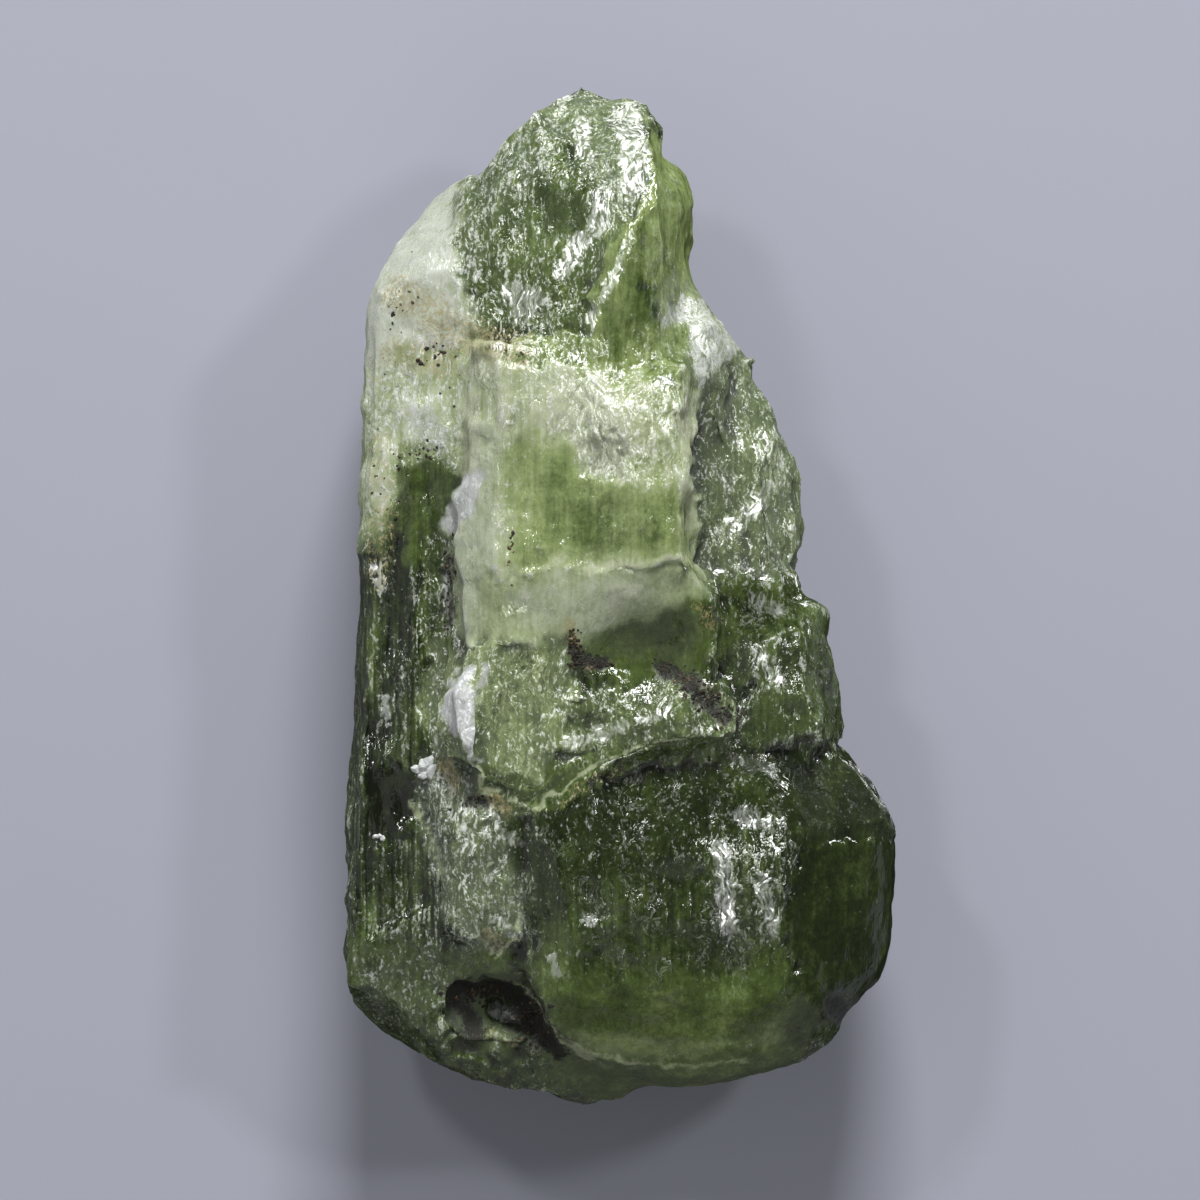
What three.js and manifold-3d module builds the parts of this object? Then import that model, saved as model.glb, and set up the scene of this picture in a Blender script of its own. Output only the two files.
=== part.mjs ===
// A rough peridot crystal, 44 mm long, lying on its broad back face.
// Millimetres. X runs across the crystal, Y along it towards the pointed end, and Z up from the resting face.
// Blades of sub-parallel growth, each bounded by flat faces, are joined into one solid, and hollows are cut
// from it. The surface is then split into small triangles and roughened with grooves along Y and with hackle.
import * as THREE from "three";
import { ImprovedNoise } from "three/addons/math/ImprovedNoise.js";
import { mergeVertices } from "three/addons/utils/BufferGeometryUtils.js";
import Module from "manifold-3d";

const wasm = await Module();
wasm.setup();

// Driving dimensions
const LENGTH = 44.4;
const WIDTH = 24;
const DEPTH = 14.4;
const LONGEST_EDGE = 1.52; // of the finished surface's triangles
const NARROW = 0.35; // a triangle lower than this share of the longest edge isn't split across
const LEVEL = 0.9995; // cosine of the angle between two normals that still count as one plane
const WALL_SCATTER = 0.35; // how unevenly an outline is drawn in, as a share of its inset
const LEAST_HEIGHT = 0.02; // of any point that isn't on the resting face
const POINT_LIMIT = 1e6; // more than the number of points, to number the edges by

// The relief's layers: depth, and turns for each millimetre across the crystal and along it.
const RELIEF = {
  grooves: { depth: 0.14, across: 0.9, along: 0.05 },
  broadHackle: { depth: 0.24, across: 0.42, along: 0.34 },
  fineHackle: { depth: 0.12, across: 0.9, along: 0.8 },
};

const GREEN = new THREE.Color(0.17, 0.27, 0.1);

// Each blade has an outline seen from above, the height of its back, and a height that its front stays under.
// A face is [x, y, z, way, lean]: a plane through a point, whose outward normal leans by so many degrees
// from +Z towards the compass way (0 is +X and 90 is +Y).
const BLADES = {
  core: {
    outline: [
      [-6.5, 14.8], [-1.0, 17.4], [1.6, 12.8], [3.8, 8.6], [5.4, 2.0], [6.6, -4.4], [8.6, -8.8],
      [9.4, -14.4], [6.0, -18.6], [-1.0, -19.6], [-7.6, -18.2], [-10.0, -14.4], [-10.0, 4.0], [-8.8, 11.6],
    ],
    back: 0.5, front: 8.6, backInset: 1.6, frontInset: 0.6,
    faces: [[-2.5, 15.2, 0.5, 95, 128], [3.4, 6.0, 1.2, 12, 146]],
  },
  leftPrism: {
    outline: [
      [-6.3, 18.2], [-7.2, 17.9], [-8.3, 16.9], [-9.4, 15.7], [-10.2, 14.4], [-10.8, 12.8], [-11.0, 11.0],
      [-11.1, 7.1], [-11.3, 2.8], [-11.4, -2.3], [-11.7, -7.9], [-11.9, -11.8], [-12.0, -15.2],
      [-11.8, -17.0], [-9.5, -17.4], [-6.4, -15.7], [-4.3, -11.4], [-2.6, -4.5], [-2.6, 7.6], [-3.4, 14.9],
    ],
    back: 0, front: 10.6, backInset: 0.3, frontInset: 0.2,
    faces: [
      [-8.8, 0, 10.0, 180, 9], [-11.0, 0, 9.5, 178, 58], [-11.4, 0, 8.6, 178, 84],
      [-11.2, 0, 4.4, 179, 124], [-8.8, 13.6, 9.9, 128, 28], [-9.6, 15.2, 7.4, 130, 62],
      [-9.0, 10.6, 10.2, 150, 12], [-8.6, 14.6, 3.4, 130, 130], [-9.8, -17.0, 3.2, -100, 126],
      [-8.0, -14.4, 10.1, -98, 14],
    ],
  },
  summit: {
    outline: [
      [-2.6, 21.8], [-1.6, 22.2], [-0.8, 21.8], [0.3, 21.7], [1.2, 21.0], [1.7, 20.1], [1.9, 19.3],
      [2.2, 17.0], [2.3, 14.0], [2.6, 11.6], [2.2, 9.2], [0.4, 7.4], [-2.6, 6.7], [-6.4, 7.6], [-7.7, 11.4],
      [-7.2, 17.5], [-6.0, 18.2], [-5.5, 19.0], [-4.9, 20.0], [-3.9, 20.8],
    ],
    back: 3.0, front: 13.9, backInset: 0.8, frontInset: 0.6,
    faces: [
      [0.3, 15.0, 13.0, 166, 24], [0.3, 15.0, 13.0, -14, 36], [-1.2, 17.4, 12.4, 70, 24],
      [-2.8, 20.4, 9.9, 88, 50], [-5.4, 17.6, 10.2, 142, 44], [-3.2, 18.6, 11.0, 118, 28],
      [-3.0, 19.8, 5.2, 88, 140], [-5.8, 16.0, 4.6, 150, 122], [1.4, 17.0, 5.0, 0, 126],
      [-4.4, 12.0, 11.7, 186, 14],
    ],
  },
  summitLobe: {
    outline: [
      [0.9, 19.2], [1.9, 19.2], [2.7, 18.7], [3.1, 17.8], [3.4, 16.8], [3.3, 15.5], [3.0, 14.4],
      [3.1, 13.5], [2.8, 12.9], [1.5, 11.6], [-0.3, 12.7],
    ],
    back: 3.4, front: 10.4, backInset: 0.7, frontInset: 0.6,
    faces: [
      [2.2, 16.0, 9.8, 4, 28], [2.2, 18.4, 8.8, 62, 48], [3.1, 15.4, 8.4, -6, 66], [3.0, 16.0, 5.4, 4, 128],
      [2.4, 14.2, 9.9, -70, 16],
    ],
  },
  clearTip: {
    outline: [
      [1.5, 12.7], [3.0, 13.2], [3.7, 12.8], [4.4, 12.0], [5.0, 10.8], [5.2, 9.9], [4.9, 8.4], [4.9, 7.1],
      [4.6, 5.8], [4.0, 5.2], [3.3, 6.3], [2.6, 8.4], [1.7, 10.6],
    ],
    back: 2.8, front: 10.8, backInset: 0.5, frontInset: 0.4,
    faces: [
      [3.4, 10.6, 10.3, 30, 14], [4.5, 10.0, 9.4, 6, 52], [3.6, 12.2, 9.4, 75, 46],
      [3.8, 6.6, 9.8, -80, 22], [4.7, 10.4, 5.2, 20, 130],
    ],
  },
  rightShoulder: {
    outline: [
      [3.4, 10.1], [5.2, 10.5], [5.7, 10.2], [5.9, 9.4], [6.7, 8.5], [7.4, 7.1], [7.6, 6.4], [8.1, 5.4],
      [8.1, 4.5], [7.9, 3.6], [7.9, 2.2], [7.6, 0.9], [7.7, -0.3], [6.0, -2.8], [3.0, -2.8], [0.9, -0.2],
      [0.9, 7.6],
    ],
    back: 1.1, front: 10.2, backInset: 0.5, frontInset: 0.5,
    faces: [
      [5.4, 3.4, 9.5, 2, 12], [7.0, 3.4, 8.6, 6, 50], [6.0, 7.4, 8.6, 40, 32], [4.6, 0.6, 9.5, -100, 14],
      [7.7, 4.0, 7.0, 4, 80], [7.4, 4.0, 4.4, 8, 128], [6.2, 8.4, 3.8, 42, 126],
    ],
  },
  lowerShoulder: {
    outline: [
      [3.0, 0.3], [7.7, -0.2], [8.6, -0.7], [8.6, -2.0], [8.9, -2.8], [9.4, -4.1], [9.3, -6.1], [7.7, -8.8],
      [3.4, -8.8], [0.9, -4.5],
    ],
    back: 0.8, front: 10.8, backInset: 0.4, frontInset: 0.4,
    faces: [
      [6.4, -3.6, 10.1, 16, 13], [8.3, -3.4, 9.0, 12, 54], [7.6, -0.8, 9.0, 80, 38],
      [9.0, -4.0, 5.0, 6, 127], [5.0, -1.6, 9.9, 100, 10],
    ],
  },
  slabUpper: {
    outline: [
      [-6.6, 10.8], [-5.2, 11.2], [-3.2, 10.9], [-1.9, 10.1], [-0.9, 8.8], [0.9, 9.4], [2.8, 10.1],
      [3.1, 8.4], [3.0, 7.1], [3.4, 5.6], [2.8, 3.7], [2.9, 1.5], [3.4, 0.8], [0.6, 0.7], [-2.4, 0.5],
      [-6.8, 0.4], [-7.5, 1.7], [-7.2, 3.3], [-7.4, 4.1], [-6.8, 5.2], [-6.6, 6.3],
    ],
    back: 4.4, front: 13.2, backInset: 0.2, frontInset: 0.25,
    faces: [[-2.0, 5.2, 12.8, 178, 5], [-5.8, 4.0, 12.2, 178, 36], [-4.0, 10.2, 12.4, 105, 16]],
  },
  slabRaised: {
    outline: [
      [-1.8, 10.0], [-0.9, 8.8], [0.9, 9.6], [2.8, 10.1], [3.1, 8.4], [3.0, 7.1], [3.4, 5.6], [3.0, 4.1],
      [2.2, 4.9], [0.9, 5.5], [-0.9, 5.3], [-1.5, 6.3], [-1.8, 8.4],
    ],
    back: 8.0, front: 14.4, backInset: 0, frontInset: 0.35,
    faces: [
      [0.8, 7.2, 13.6, 60, 9], [2.6, 7.0, 13.3, 0, 40], [0, 6.4, 13.5, -95, 30],
      [-0.8, 8.4, 13.3, 150, 20],
    ],
  },
  slabLower: {
    outline: [
      [-6.8, 0.8], [-4.6, 1.1], [-2.4, 1.5], [0.6, 1.8], [3.0, 1.6], [4.1, 0.2], [4.3, -2.1], [4.2, -3.6],
      [3.0, -4.7], [-2.6, -4.7], [-6.0, -4.5], [-6.8, -2.8], [-7.0, -0.8],
    ],
    back: 4.4, front: 13.1, backInset: 0.2, frontInset: 0.3,
    faces: [
      [-1.0, 1.2, 12.95, -88, 13], [-6.2, -1.8, 11.9, 180, 38], [3.6, -1.6, 12.0, 0, 46],
      [-1.0, 1.3, 12.95, 84, 34],
    ],
  },
  tongue: {
    outline: [
      [-6.8, -1.9], [-2.4, -1.4], [-1.9, -4.0], [-2.1, -6.2], [-2.6, -7.9], [-3.4, -8.9], [-4.5, -8.6],
      [-5.2, -8.3], [-6.1, -8.5], [-6.3, -7.5], [-7.7, -7.4], [-8.2, -6.2], [-8.1, -4.7], [-7.3, -4.0],
    ],
    back: 4.4, front: 12.8, backInset: 0.2, frontInset: 0.25,
    faces: [[-4.4, -4.6, 12.4, -95, 7], [-6.6, -5.4, 12.1, 182, 24], [-2.6, -5.2, 12.1, -4, 22]],
  },
  shelf: {
    outline: [
      [-2.6, -4.0], [1.7, -4.0], [4.4, -3.6], [5.5, -4.5], [5.2, -6.0], [3.4, -6.6], [1.3, -6.9],
      [-0.4, -7.5], [-1.6, -8.2], [-3.2, -8.9],
    ],
    back: 4.4, front: 12.4, backInset: 0.2, frontInset: 0.25,
    faces: [[1.0, -5.4, 12.1, -82, 14], [4.4, -5.0, 11.6, 4, 24]],
  },
  rightLobe: {
    outline: [
      [-4.3, -8.8], [-2.6, -7.5], [0.9, -6.4], [5.2, -5.5], [9.3, -6.1], [10.4, -7.4], [10.9, -8.1],
      [11.5, -9.3], [11.9, -10.4], [12.0, -12.2], [11.8, -14.8], [11.2, -16.7], [10.3, -17.6], [9.5, -18.7],
      [9.0, -19.3], [7.7, -20.3], [5.2, -21.1], [2.6, -21.6], [0, -21.0], [-1.9, -20.0], [-3.4, -18.9],
      [-4.5, -17.0], [-4.8, -14.8], [-4.5, -12.2],
    ],
    back: 0, front: 12.4, backInset: 0.5, frontInset: 0.6,
    faces: [
      [4.2, -12.8, 12.0, -76, 4], [7.4, -12.0, 11.6, -6, 33], [11.3, -12.0, 8.9, -4, 68],
      [2.0, -17.4, 11.4, -92, 33], [2.0, -20.7, 9.2, -94, 66], [-2.8, -14.0, 11.8, 196, 26],
      [4.0, -9.6, 11.6, 88, 19], [8.6, -8.6, 10.2, 46, 38], [8.9, -17.9, 9.5, -45, 54],
      [11.3, -12.0, 4.6, 0, 124], [4.0, -20.6, 4.6, -92, 126], [9.6, -17.6, 4.4, -44, 126],
      [10.2, -8.4, 4.4, 44, 122],
    ],
  },
  footLeft: {
    outline: [
      [-11.8, -15.0], [-12.0, -16.7], [-11.6, -17.8], [-10.1, -19.2], [-8.6, -20.0], [-6.5, -21.3],
      [-4.7, -21.6], [-3.2, -21.6], [-2.1, -22.2], [0, -22.1], [1.7, -20.8], [0.9, -15.7], [-4.3, -13.1],
      [-8.6, -13.1],
    ],
    back: 0.9, front: 10.2, backInset: 0.4, frontInset: 0.4,
    faces: [
      [-7.0, -16.6, 9.7, -105, 16], [-6.6, -19.4, 8.9, -100, 33], [-11.3, -16.6, 8.7, 188, 60],
      [-2.0, -20.6, 7.9, -80, 44], [-10.1, -18.7, 7.6, -130, 58], [-5.0, -20.8, 4.4, -98, 128],
      [-10.8, -17.6, 4.2, -150, 124],
    ],
  },
  vein: {
    outline: [
      [-7.3, -4.2], [-6.7, -3.2], [-6.1, -3.3], [-5.8, -4.6], [-5.9, -7.0], [-6.2, -7.8], [-6.8, -7.6],
      [-7.1, -6.2],
    ],
    back: 8.0, front: 12.9, backInset: 0, frontInset: 0.2,
    faces: [[-6.5, -5.2, 12.7, 180, 8], [-6.5, -7.0, 12.5, -90, 18], [-6.6, -3.9, 12.5, 90, 24]],
  },
  middleBand: {
    outline: [
      [-8.7, -7.7], [-7.4, -6.4], [-5.6, -7.0], [-3.4, -7.8], [-3.3, -12.2], [-3.5, -14.1], [-4.5, -15.5],
      [-6.0, -15.1], [-7.7, -14.8], [-7.7, -12.2], [-8.2, -10.1],
    ],
    back: 5.0, front: 11.4, backInset: 0.2, frontInset: 0.3,
    faces: [[-5.8, -11.6, 11.2, -120, 6], [-7.4, -9.6, 11.0, 186, 36], [-5.2, -14.4, 11.0, -100, 30]],
  },
};

// Hollows, each a lumpy ellipsoid: middle, half sizes.
const HOLLOWS = {
  bowl: { at: [1.1, -3.3, 15.5], size: [5.0, 4.0, 4.2] },
  window: { at: [-0.8, 3.7, 16.0], size: [6.4, 4.6, 3.3] },
  leftPit: { at: [-9.8, -8.8, 10.2], size: [1.2, 1.9, 0.9] },
  footPit: { at: [-5.3, -17.9, 9.9], size: [2.3, 1.5, 1.7] },
  shelfPit: { at: [-1.3, -2.9, 12.7], size: [0.9, 0.7, 1.2] },
  chip: { at: [9.8, -18.3, 8.6], size: [0.9, 0.7, 1.3] },
  innerGroove: { at: [-7.9, -1.2, 10.4], size: [0.7, 6.4, 0.7] },
  backScar: { at: [5.4, 3.6, -0.4], size: [3.4, 4.4, 2.2] },
  backChip: { at: [-8.4, 5.2, -0.6], size: [2.0, 3.0, 1.3] },
};
const HOLLOW_DETAIL = 1;
const HOLLOW_LUMPS = { share: 0.4, turns: 1.7 };

const noise = new ImprovedNoise();
const SCATTER_STEP = { first: 0.61, second: 0.47, level: 0.5 }; // off the whole numbers, where the noise is 0
const LAYER_SHIFT = 11; // how far apart in the noise two layers of relief are read

// A repeatable number from about -1 to 1 for a pair of whole numbers.
function scatter(i, j) {
  return 2 * noise.noise(SCATTER_STEP.first * i, SCATTER_STEP.second * j, SCATTER_STEP.level);
}

function manifoldOf(geometry) {
  const bare = new THREE.BufferGeometry().setAttribute("position", geometry.getAttribute("position"));
  bare.setIndex(geometry.index);
  const merged = mergeVertices(bare, 1e-4);
  return new wasm.Manifold(
    new wasm.Mesh({
      numProp: 3,
      vertProperties: merged.attributes.position.array,
      triVerts: new Uint32Array(merged.index.array),
    }),
  );
}

// The outline at one height, drawn in by the inset, with a little scatter so that no wall is a clean sweep.
function ring(outline, inset, height, level) {
  const xs = outline.map((p) => p[0]);
  const ys = outline.map((p) => p[1]);
  const middle = [(Math.max(...xs) + Math.min(...xs)) / 2, (Math.max(...ys) + Math.min(...ys)) / 2];
  const half = [(Math.max(...xs) - Math.min(...xs)) / 2, (Math.max(...ys) - Math.min(...ys)) / 2];
  return outline.map(([x, y], i) => {
    const draw = inset * (1 + WALL_SCATTER * scatter(i, level));
    return [
      middle[0] + (x - middle[0]) * (1 - draw / half[0]),
      middle[1] + (y - middle[1]) * (1 - draw / half[1]),
      height,
    ];
  });
}

// A closed skin over the rings of one blade, from its back to its front, cut by its faces.
function blade({ outline, back, front, backInset, frontInset, faces }) {
  const counterclockwise = THREE.ShapeUtils.isClockWise(outline.map(([x, y]) => new THREE.Vector2(x, y)))
    ? [...outline].reverse()
    : outline;
  const middle = (back + front) / 2;
  const rings = [
    ring(counterclockwise, backInset, back, 0),
    ring(counterclockwise, 0, middle, 1),
    ring(counterclockwise, frontInset, front, 2),
  ];
  const count = outline.length;
  const triangles = [];
  for (let level = 0; level < rings.length - 1; level++) {
    for (let i = 0; i < count; i++) {
      const next = (i + 1) % count;
      const [a, b] = [level * count + i, level * count + next];
      triangles.push(a, b, b + count, a, b + count, a + count);
    }
  }
  for (const [level, upwards] of [[0, false], [rings.length - 1, true]]) {
    const flat = rings[level].map(([x, y]) => new THREE.Vector2(x, y));
    for (const [a, b, c] of THREE.ShapeUtils.triangulateShape(flat, [])) {
      const at = level * count;
      triangles.push(...(upwards ? [at + a, at + b, at + c] : [at + a, at + c, at + b]));
    }
  }
  const geometry = new THREE.BufferGeometry();
  geometry.setAttribute("position", new THREE.Float32BufferAttribute(rings.flat(2), 3));
  geometry.setIndex(triangles);
  return faces.reduce(cutByFace, manifoldOf(geometry));
}

function cutByFace(solid, [x, y, z, way, lean]) {
  const [turn, tip] = [THREE.MathUtils.degToRad(way), THREE.MathUtils.degToRad(lean)];
  const flat = Math.sin(tip);
  const out = new THREE.Vector3(flat * Math.cos(turn), flat * Math.sin(turn), Math.cos(tip));
  return solid.trimByPlane(out.clone().negate().toArray(), -out.dot(new THREE.Vector3(x, y, z)));
}

function hollow({ at, size }) {
  const geometry = new THREE.IcosahedronGeometry(1, HOLLOW_DETAIL);
  geometry.deleteAttribute("normal");
  geometry.deleteAttribute("uv");
  const position = geometry.getAttribute("position");
  for (let i = 0; i < position.count; i++) {
    const p = new THREE.Vector3().fromBufferAttribute(position, i);
    const spot = p.clone().multiplyScalar(HOLLOW_LUMPS.turns).add(new THREE.Vector3(...at));
    const lump = HOLLOW_LUMPS.share * noise.noise(spot.x, spot.y, spot.z);
    position.setXYZ(i, ...p.multiplyScalar(1 + lump).toArray());
  }
  return manifoldOf(geometry.scale(...size).translate(...at));
}

function normalOf(points, [a, b, c]) {
  return points[b].clone().sub(points[a]).cross(points[c].clone().sub(points[a])).normalize();
}

// The cotangent of the angle that a corner sees an edge at.
function cotangent(points, corner, [a, b]) {
  const [u, v] = [points[a].clone().sub(points[corner]), points[b].clone().sub(points[corner])];
  return u.dot(v) / u.cross(v).length();
}

function edgeNumber(from, to) {
  return from * POINT_LIMIT + to;
}

function sharedEdgeNumber(a, b) {
  return edgeNumber(Math.min(a, b), Math.max(a, b));
}

const SLACK = 0.01; // the least gain that an edge is turned for, so that turning comes to an end

// Turns the edge between two level triangles to the other diagonal, wherever that makes them rounder.
function turnEdges(points, faces) {
  for (let turned = true; turned; ) {
    turned = false;
    const left = new Map(); // the face on the left of each edge
    faces.forEach((face, f) => face.forEach((a, i) => left.set(edgeNumber(a, face[(i + 1) % 3]), f)));
    const touched = new Set();
    for (const [edge, f] of left) {
      const [a, b] = [Math.floor(edge / POINT_LIMIT), edge % POINT_LIMIT];
      const g = left.get(edgeNumber(b, a));
      if (a > b || touched.has(f) || touched.has(g)) continue;
      const [c, d] = [f, g].map((face) => faces[face].find((i) => i !== a && i !== b));
      if (left.has(edgeNumber(c, d)) || left.has(edgeNumber(d, c))) continue;
      if (cotangent(points, c, [a, b]) + cotangent(points, d, [a, b]) > -SLACK) continue;
      const before = normalOf(points, faces[f]);
      const others = [faces[g], [a, d, c], [d, b, c]];
      if (others.some((face) => normalOf(points, face).dot(before) < LEVEL)) continue;
      [faces[f], faces[g]] = [[a, d, c], [d, b, c]];
      touched.add(f).add(g);
      turned = true;
    }
  }
}

// The edges that a triangle of some width stands on.
function edgesOfWideFaces(points, faces, width) {
  const wide = new Set();
  for (const face of faces) {
    face.forEach((a, i) => {
      const [b, c] = [face[(i + 1) % 3], face[(i + 2) % 3]];
      const edge = points[b].clone().sub(points[a]);
      const height = edge.clone().cross(points[c].clone().sub(points[a])).length() / edge.length();
      if (height > width) wide.add(sharedEdgeNumber(a, b));
    });
  }
  return wide;
}

// Splits the long edges of wide triangles at their middles, until none is left.
function split(positions, triangles) {
  const points = [];
  for (let i = 0; i < positions.length; i += 3) points.push(new THREE.Vector3().fromArray(positions, i));
  let faces = [];
  for (let i = 0; i < triangles.length; i += 3) faces.push([...triangles.slice(i, i + 3)]);
  for (let again = true; again; ) {
    again = false;
    turnEdges(points, faces);
    const middles = new Map();
    const wide = edgesOfWideFaces(points, faces, NARROW * LONGEST_EDGE);
    const middle = (a, b) => {
      const key = sharedEdgeNumber(a, b);
      if (points[a].distanceTo(points[b]) <= LONGEST_EDGE || !wide.has(key)) return -1;
      if (!middles.has(key)) middles.set(key, points.push(points[a].clone().lerp(points[b], 0.5)) - 1);
      return middles.get(key);
    };
    const finer = [];
    for (const face of faces) {
      const mids = face.map((a, i) => middle(a, face[(i + 1) % 3]));
      const cut = mids.filter((m) => m >= 0).length;
      if (!cut) {
        finer.push(face);
        continue;
      }
      again = true;
      if (cut === 3) {
        finer.push(mids, ...face.map((a, i) => [a, mids[i], mids[(i + 2) % 3]]));
        continue;
      }
      const first = mids.findIndex((m, i) => m >= 0 && (cut === 1 || mids[(i + 2) % 3] < 0));
      const [a, b, c] = [0, 1, 2].map((i) => face[(first + i) % 3]);
      const ab = mids[first];
      if (cut === 1) finer.push([a, ab, c], [ab, b, c]);
      else {
        const bc = mids[(first + 1) % 3];
        finer.push([ab, b, bc], [a, ab, bc], [a, bc, c]);
      }
    }
    faces = finer;
  }
  return { points, faces };
}

// How far a point of the surface moves along its normal.
function relief(p) {
  const layers = Object.values(RELIEF);
  return layers.reduce((sum, { depth, across, along }, i) => {
    return sum + depth * noise.noise(p.x * across + LAYER_SHIFT * i, p.y * along, p.z * across);
  }, 0);
}

function roughen({ points, faces }) {
  const normals = points.map(() => new THREE.Vector3());
  for (const face of faces) {
    const [a, b, c] = face.map((i) => points[i]);
    const across = b.clone().sub(a).cross(c.clone().sub(a));
    for (const i of face) normals[i].add(across);
  }
  return points.map((p, i) => {
    const lifted = p.clone().addScaledVector(normals[i].normalize(), relief(p));
    return lifted.setZ(p.z < LEAST_HEIGHT / 2 ? 0 : Math.max(lifted.z, LEAST_HEIGHT));
  });
}

function crystal() {
  const joined = Object.values(BLADES).map(blade).reduce((whole, next) => whole.add(next));
  const carved = Object.values(HOLLOWS).reduce((whole, shape) => whole.subtract(hollow(shape)), joined);
  const skin = carved.getMesh();
  const fine = split(skin.vertProperties, skin.triVerts);
  const geometry = new THREE.BufferGeometry().setFromPoints(roughen(fine));
  geometry.setIndex(fine.faces.flat());
  geometry.computeBoundingBox();
  const { min, max } = geometry.boundingBox;
  geometry.translate(-(min.x + max.x) / 2, -(min.y + max.y) / 2, -min.z);
  geometry.scale(WIDTH / (max.x - min.x), LENGTH / (max.y - min.y), DEPTH / (max.z - min.z));
  geometry.computeVertexNormals();
  return geometry;
}

const group = new THREE.Group();
const mesh = new THREE.Mesh(
  crystal(),
  new THREE.MeshStandardMaterial({ color: GREEN, roughness: 0.3, metalness: 0, flatShading: true }),
);
mesh.name = "peridot_crystal";
group.add(mesh);

export default group;
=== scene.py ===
"""A rough peridot crystal, dressed over its packed solid and lying on a pale floor.

The frame is in metres. Sizes on the crystal itself are written in millimetres and turned into metres by MM.
X runs across the crystal, Y along it towards its point, and Z up out of its broad front.
"""

import logging
from dataclasses import dataclass
from enum import Enum
from itertools import product
from typing import Any, Sequence

import bpy
import numpy as np
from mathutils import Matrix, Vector
from mathutils.bvhtree import BVHTree


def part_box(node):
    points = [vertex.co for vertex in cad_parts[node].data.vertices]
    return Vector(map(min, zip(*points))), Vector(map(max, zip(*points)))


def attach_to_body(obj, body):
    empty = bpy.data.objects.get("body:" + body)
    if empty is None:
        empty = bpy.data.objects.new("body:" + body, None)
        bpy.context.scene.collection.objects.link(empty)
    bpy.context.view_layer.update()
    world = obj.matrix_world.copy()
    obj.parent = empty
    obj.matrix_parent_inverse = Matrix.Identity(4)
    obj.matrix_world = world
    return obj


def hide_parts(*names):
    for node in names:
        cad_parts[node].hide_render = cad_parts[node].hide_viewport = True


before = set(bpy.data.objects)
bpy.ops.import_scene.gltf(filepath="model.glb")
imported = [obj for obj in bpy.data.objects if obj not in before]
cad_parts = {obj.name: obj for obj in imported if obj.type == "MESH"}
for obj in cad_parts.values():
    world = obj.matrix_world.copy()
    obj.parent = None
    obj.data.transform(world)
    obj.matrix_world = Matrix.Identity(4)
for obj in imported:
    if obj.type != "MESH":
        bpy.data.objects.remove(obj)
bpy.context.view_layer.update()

MM = 0.001
NODE = "peridot_crystal"
BODY = "root"
WARPED = "warped_place"
LIFT = "lift"

log = logging.getLogger("crystal")

Point = tuple[float, float]
Triple = tuple[float, float, float]
Colour = tuple[float, float, float, float]


def smooth(low: float, high: float, value: np.ndarray) -> np.ndarray:
    """Rises from 0 to 1 as the value goes from low to high, with soft ends."""
    t = np.clip((value - low) / (high - low), 0.0, 1.0)
    return t * t * (3.0 - 2.0 * t)


def blend(start: np.ndarray, end: Any, share: np.ndarray) -> np.ndarray:
    """Goes from start to end by a share from 0 to 1."""
    return start + (end - start) * share


def steps(value: np.ndarray, edge: float) -> np.ndarray:
    """Turns a smooth value into flat treads with a rise at each whole number.

    Args:
        value: the value, one tread for each whole number.
        edge: half the width of a rise, as a share of a tread.

    Returns:
        The stepped value, which stays within half a tread of the value given.
    """
    whole = np.floor(value)
    return whole + smooth(0.5 - edge, 0.5 + edge, value - whole)


def depth_inside(outline: Sequence[Point], x: np.ndarray, y: np.ndarray) -> np.ndarray:
    """How far each point lies inside an outline.

    Args:
        outline: the corners of a closed outline.
        x: the points' places across.
        y: the points' places along.

    Returns:
        The distance to the outline, positive inside and negative outside.
    """
    nearest = np.full(x.shape, np.inf)
    inside = np.zeros(x.shape, bool)
    for (ax, ay), (bx, by) in zip(outline, (*outline[1:], outline[0])):
        nearest = np.minimum(nearest, distance_to_edge((ax, ay), (bx, by), x, y))
        crossed = (ay > y) != (by > y)
        run = (bx - ax) * (y - ay) / (by - ay if by != ay else 1.0) + ax
        inside ^= crossed & (x < run)
    return np.where(inside, nearest, -nearest)


def distance_to_edge(start: Point, end: Point, x: np.ndarray, y: np.ndarray) -> np.ndarray:
    """The distance from each point to a straight edge."""
    ex, ey = end[0] - start[0], end[1] - start[1]
    along = np.clip(((x - start[0]) * ex + (y - start[1]) * ey) / (ex * ex + ey * ey), 0.0, 1.0)
    return np.hypot(x - start[0] - along * ex, y - start[1] - along * ey)


def distance_to_line(line: Sequence[Point], x: np.ndarray, y: np.ndarray) -> np.ndarray:
    """The distance from each point to an open line of straight edges."""
    return np.min([distance_to_edge(a, b, x, y) for a, b in zip(line, line[1:])], axis=0)


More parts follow.
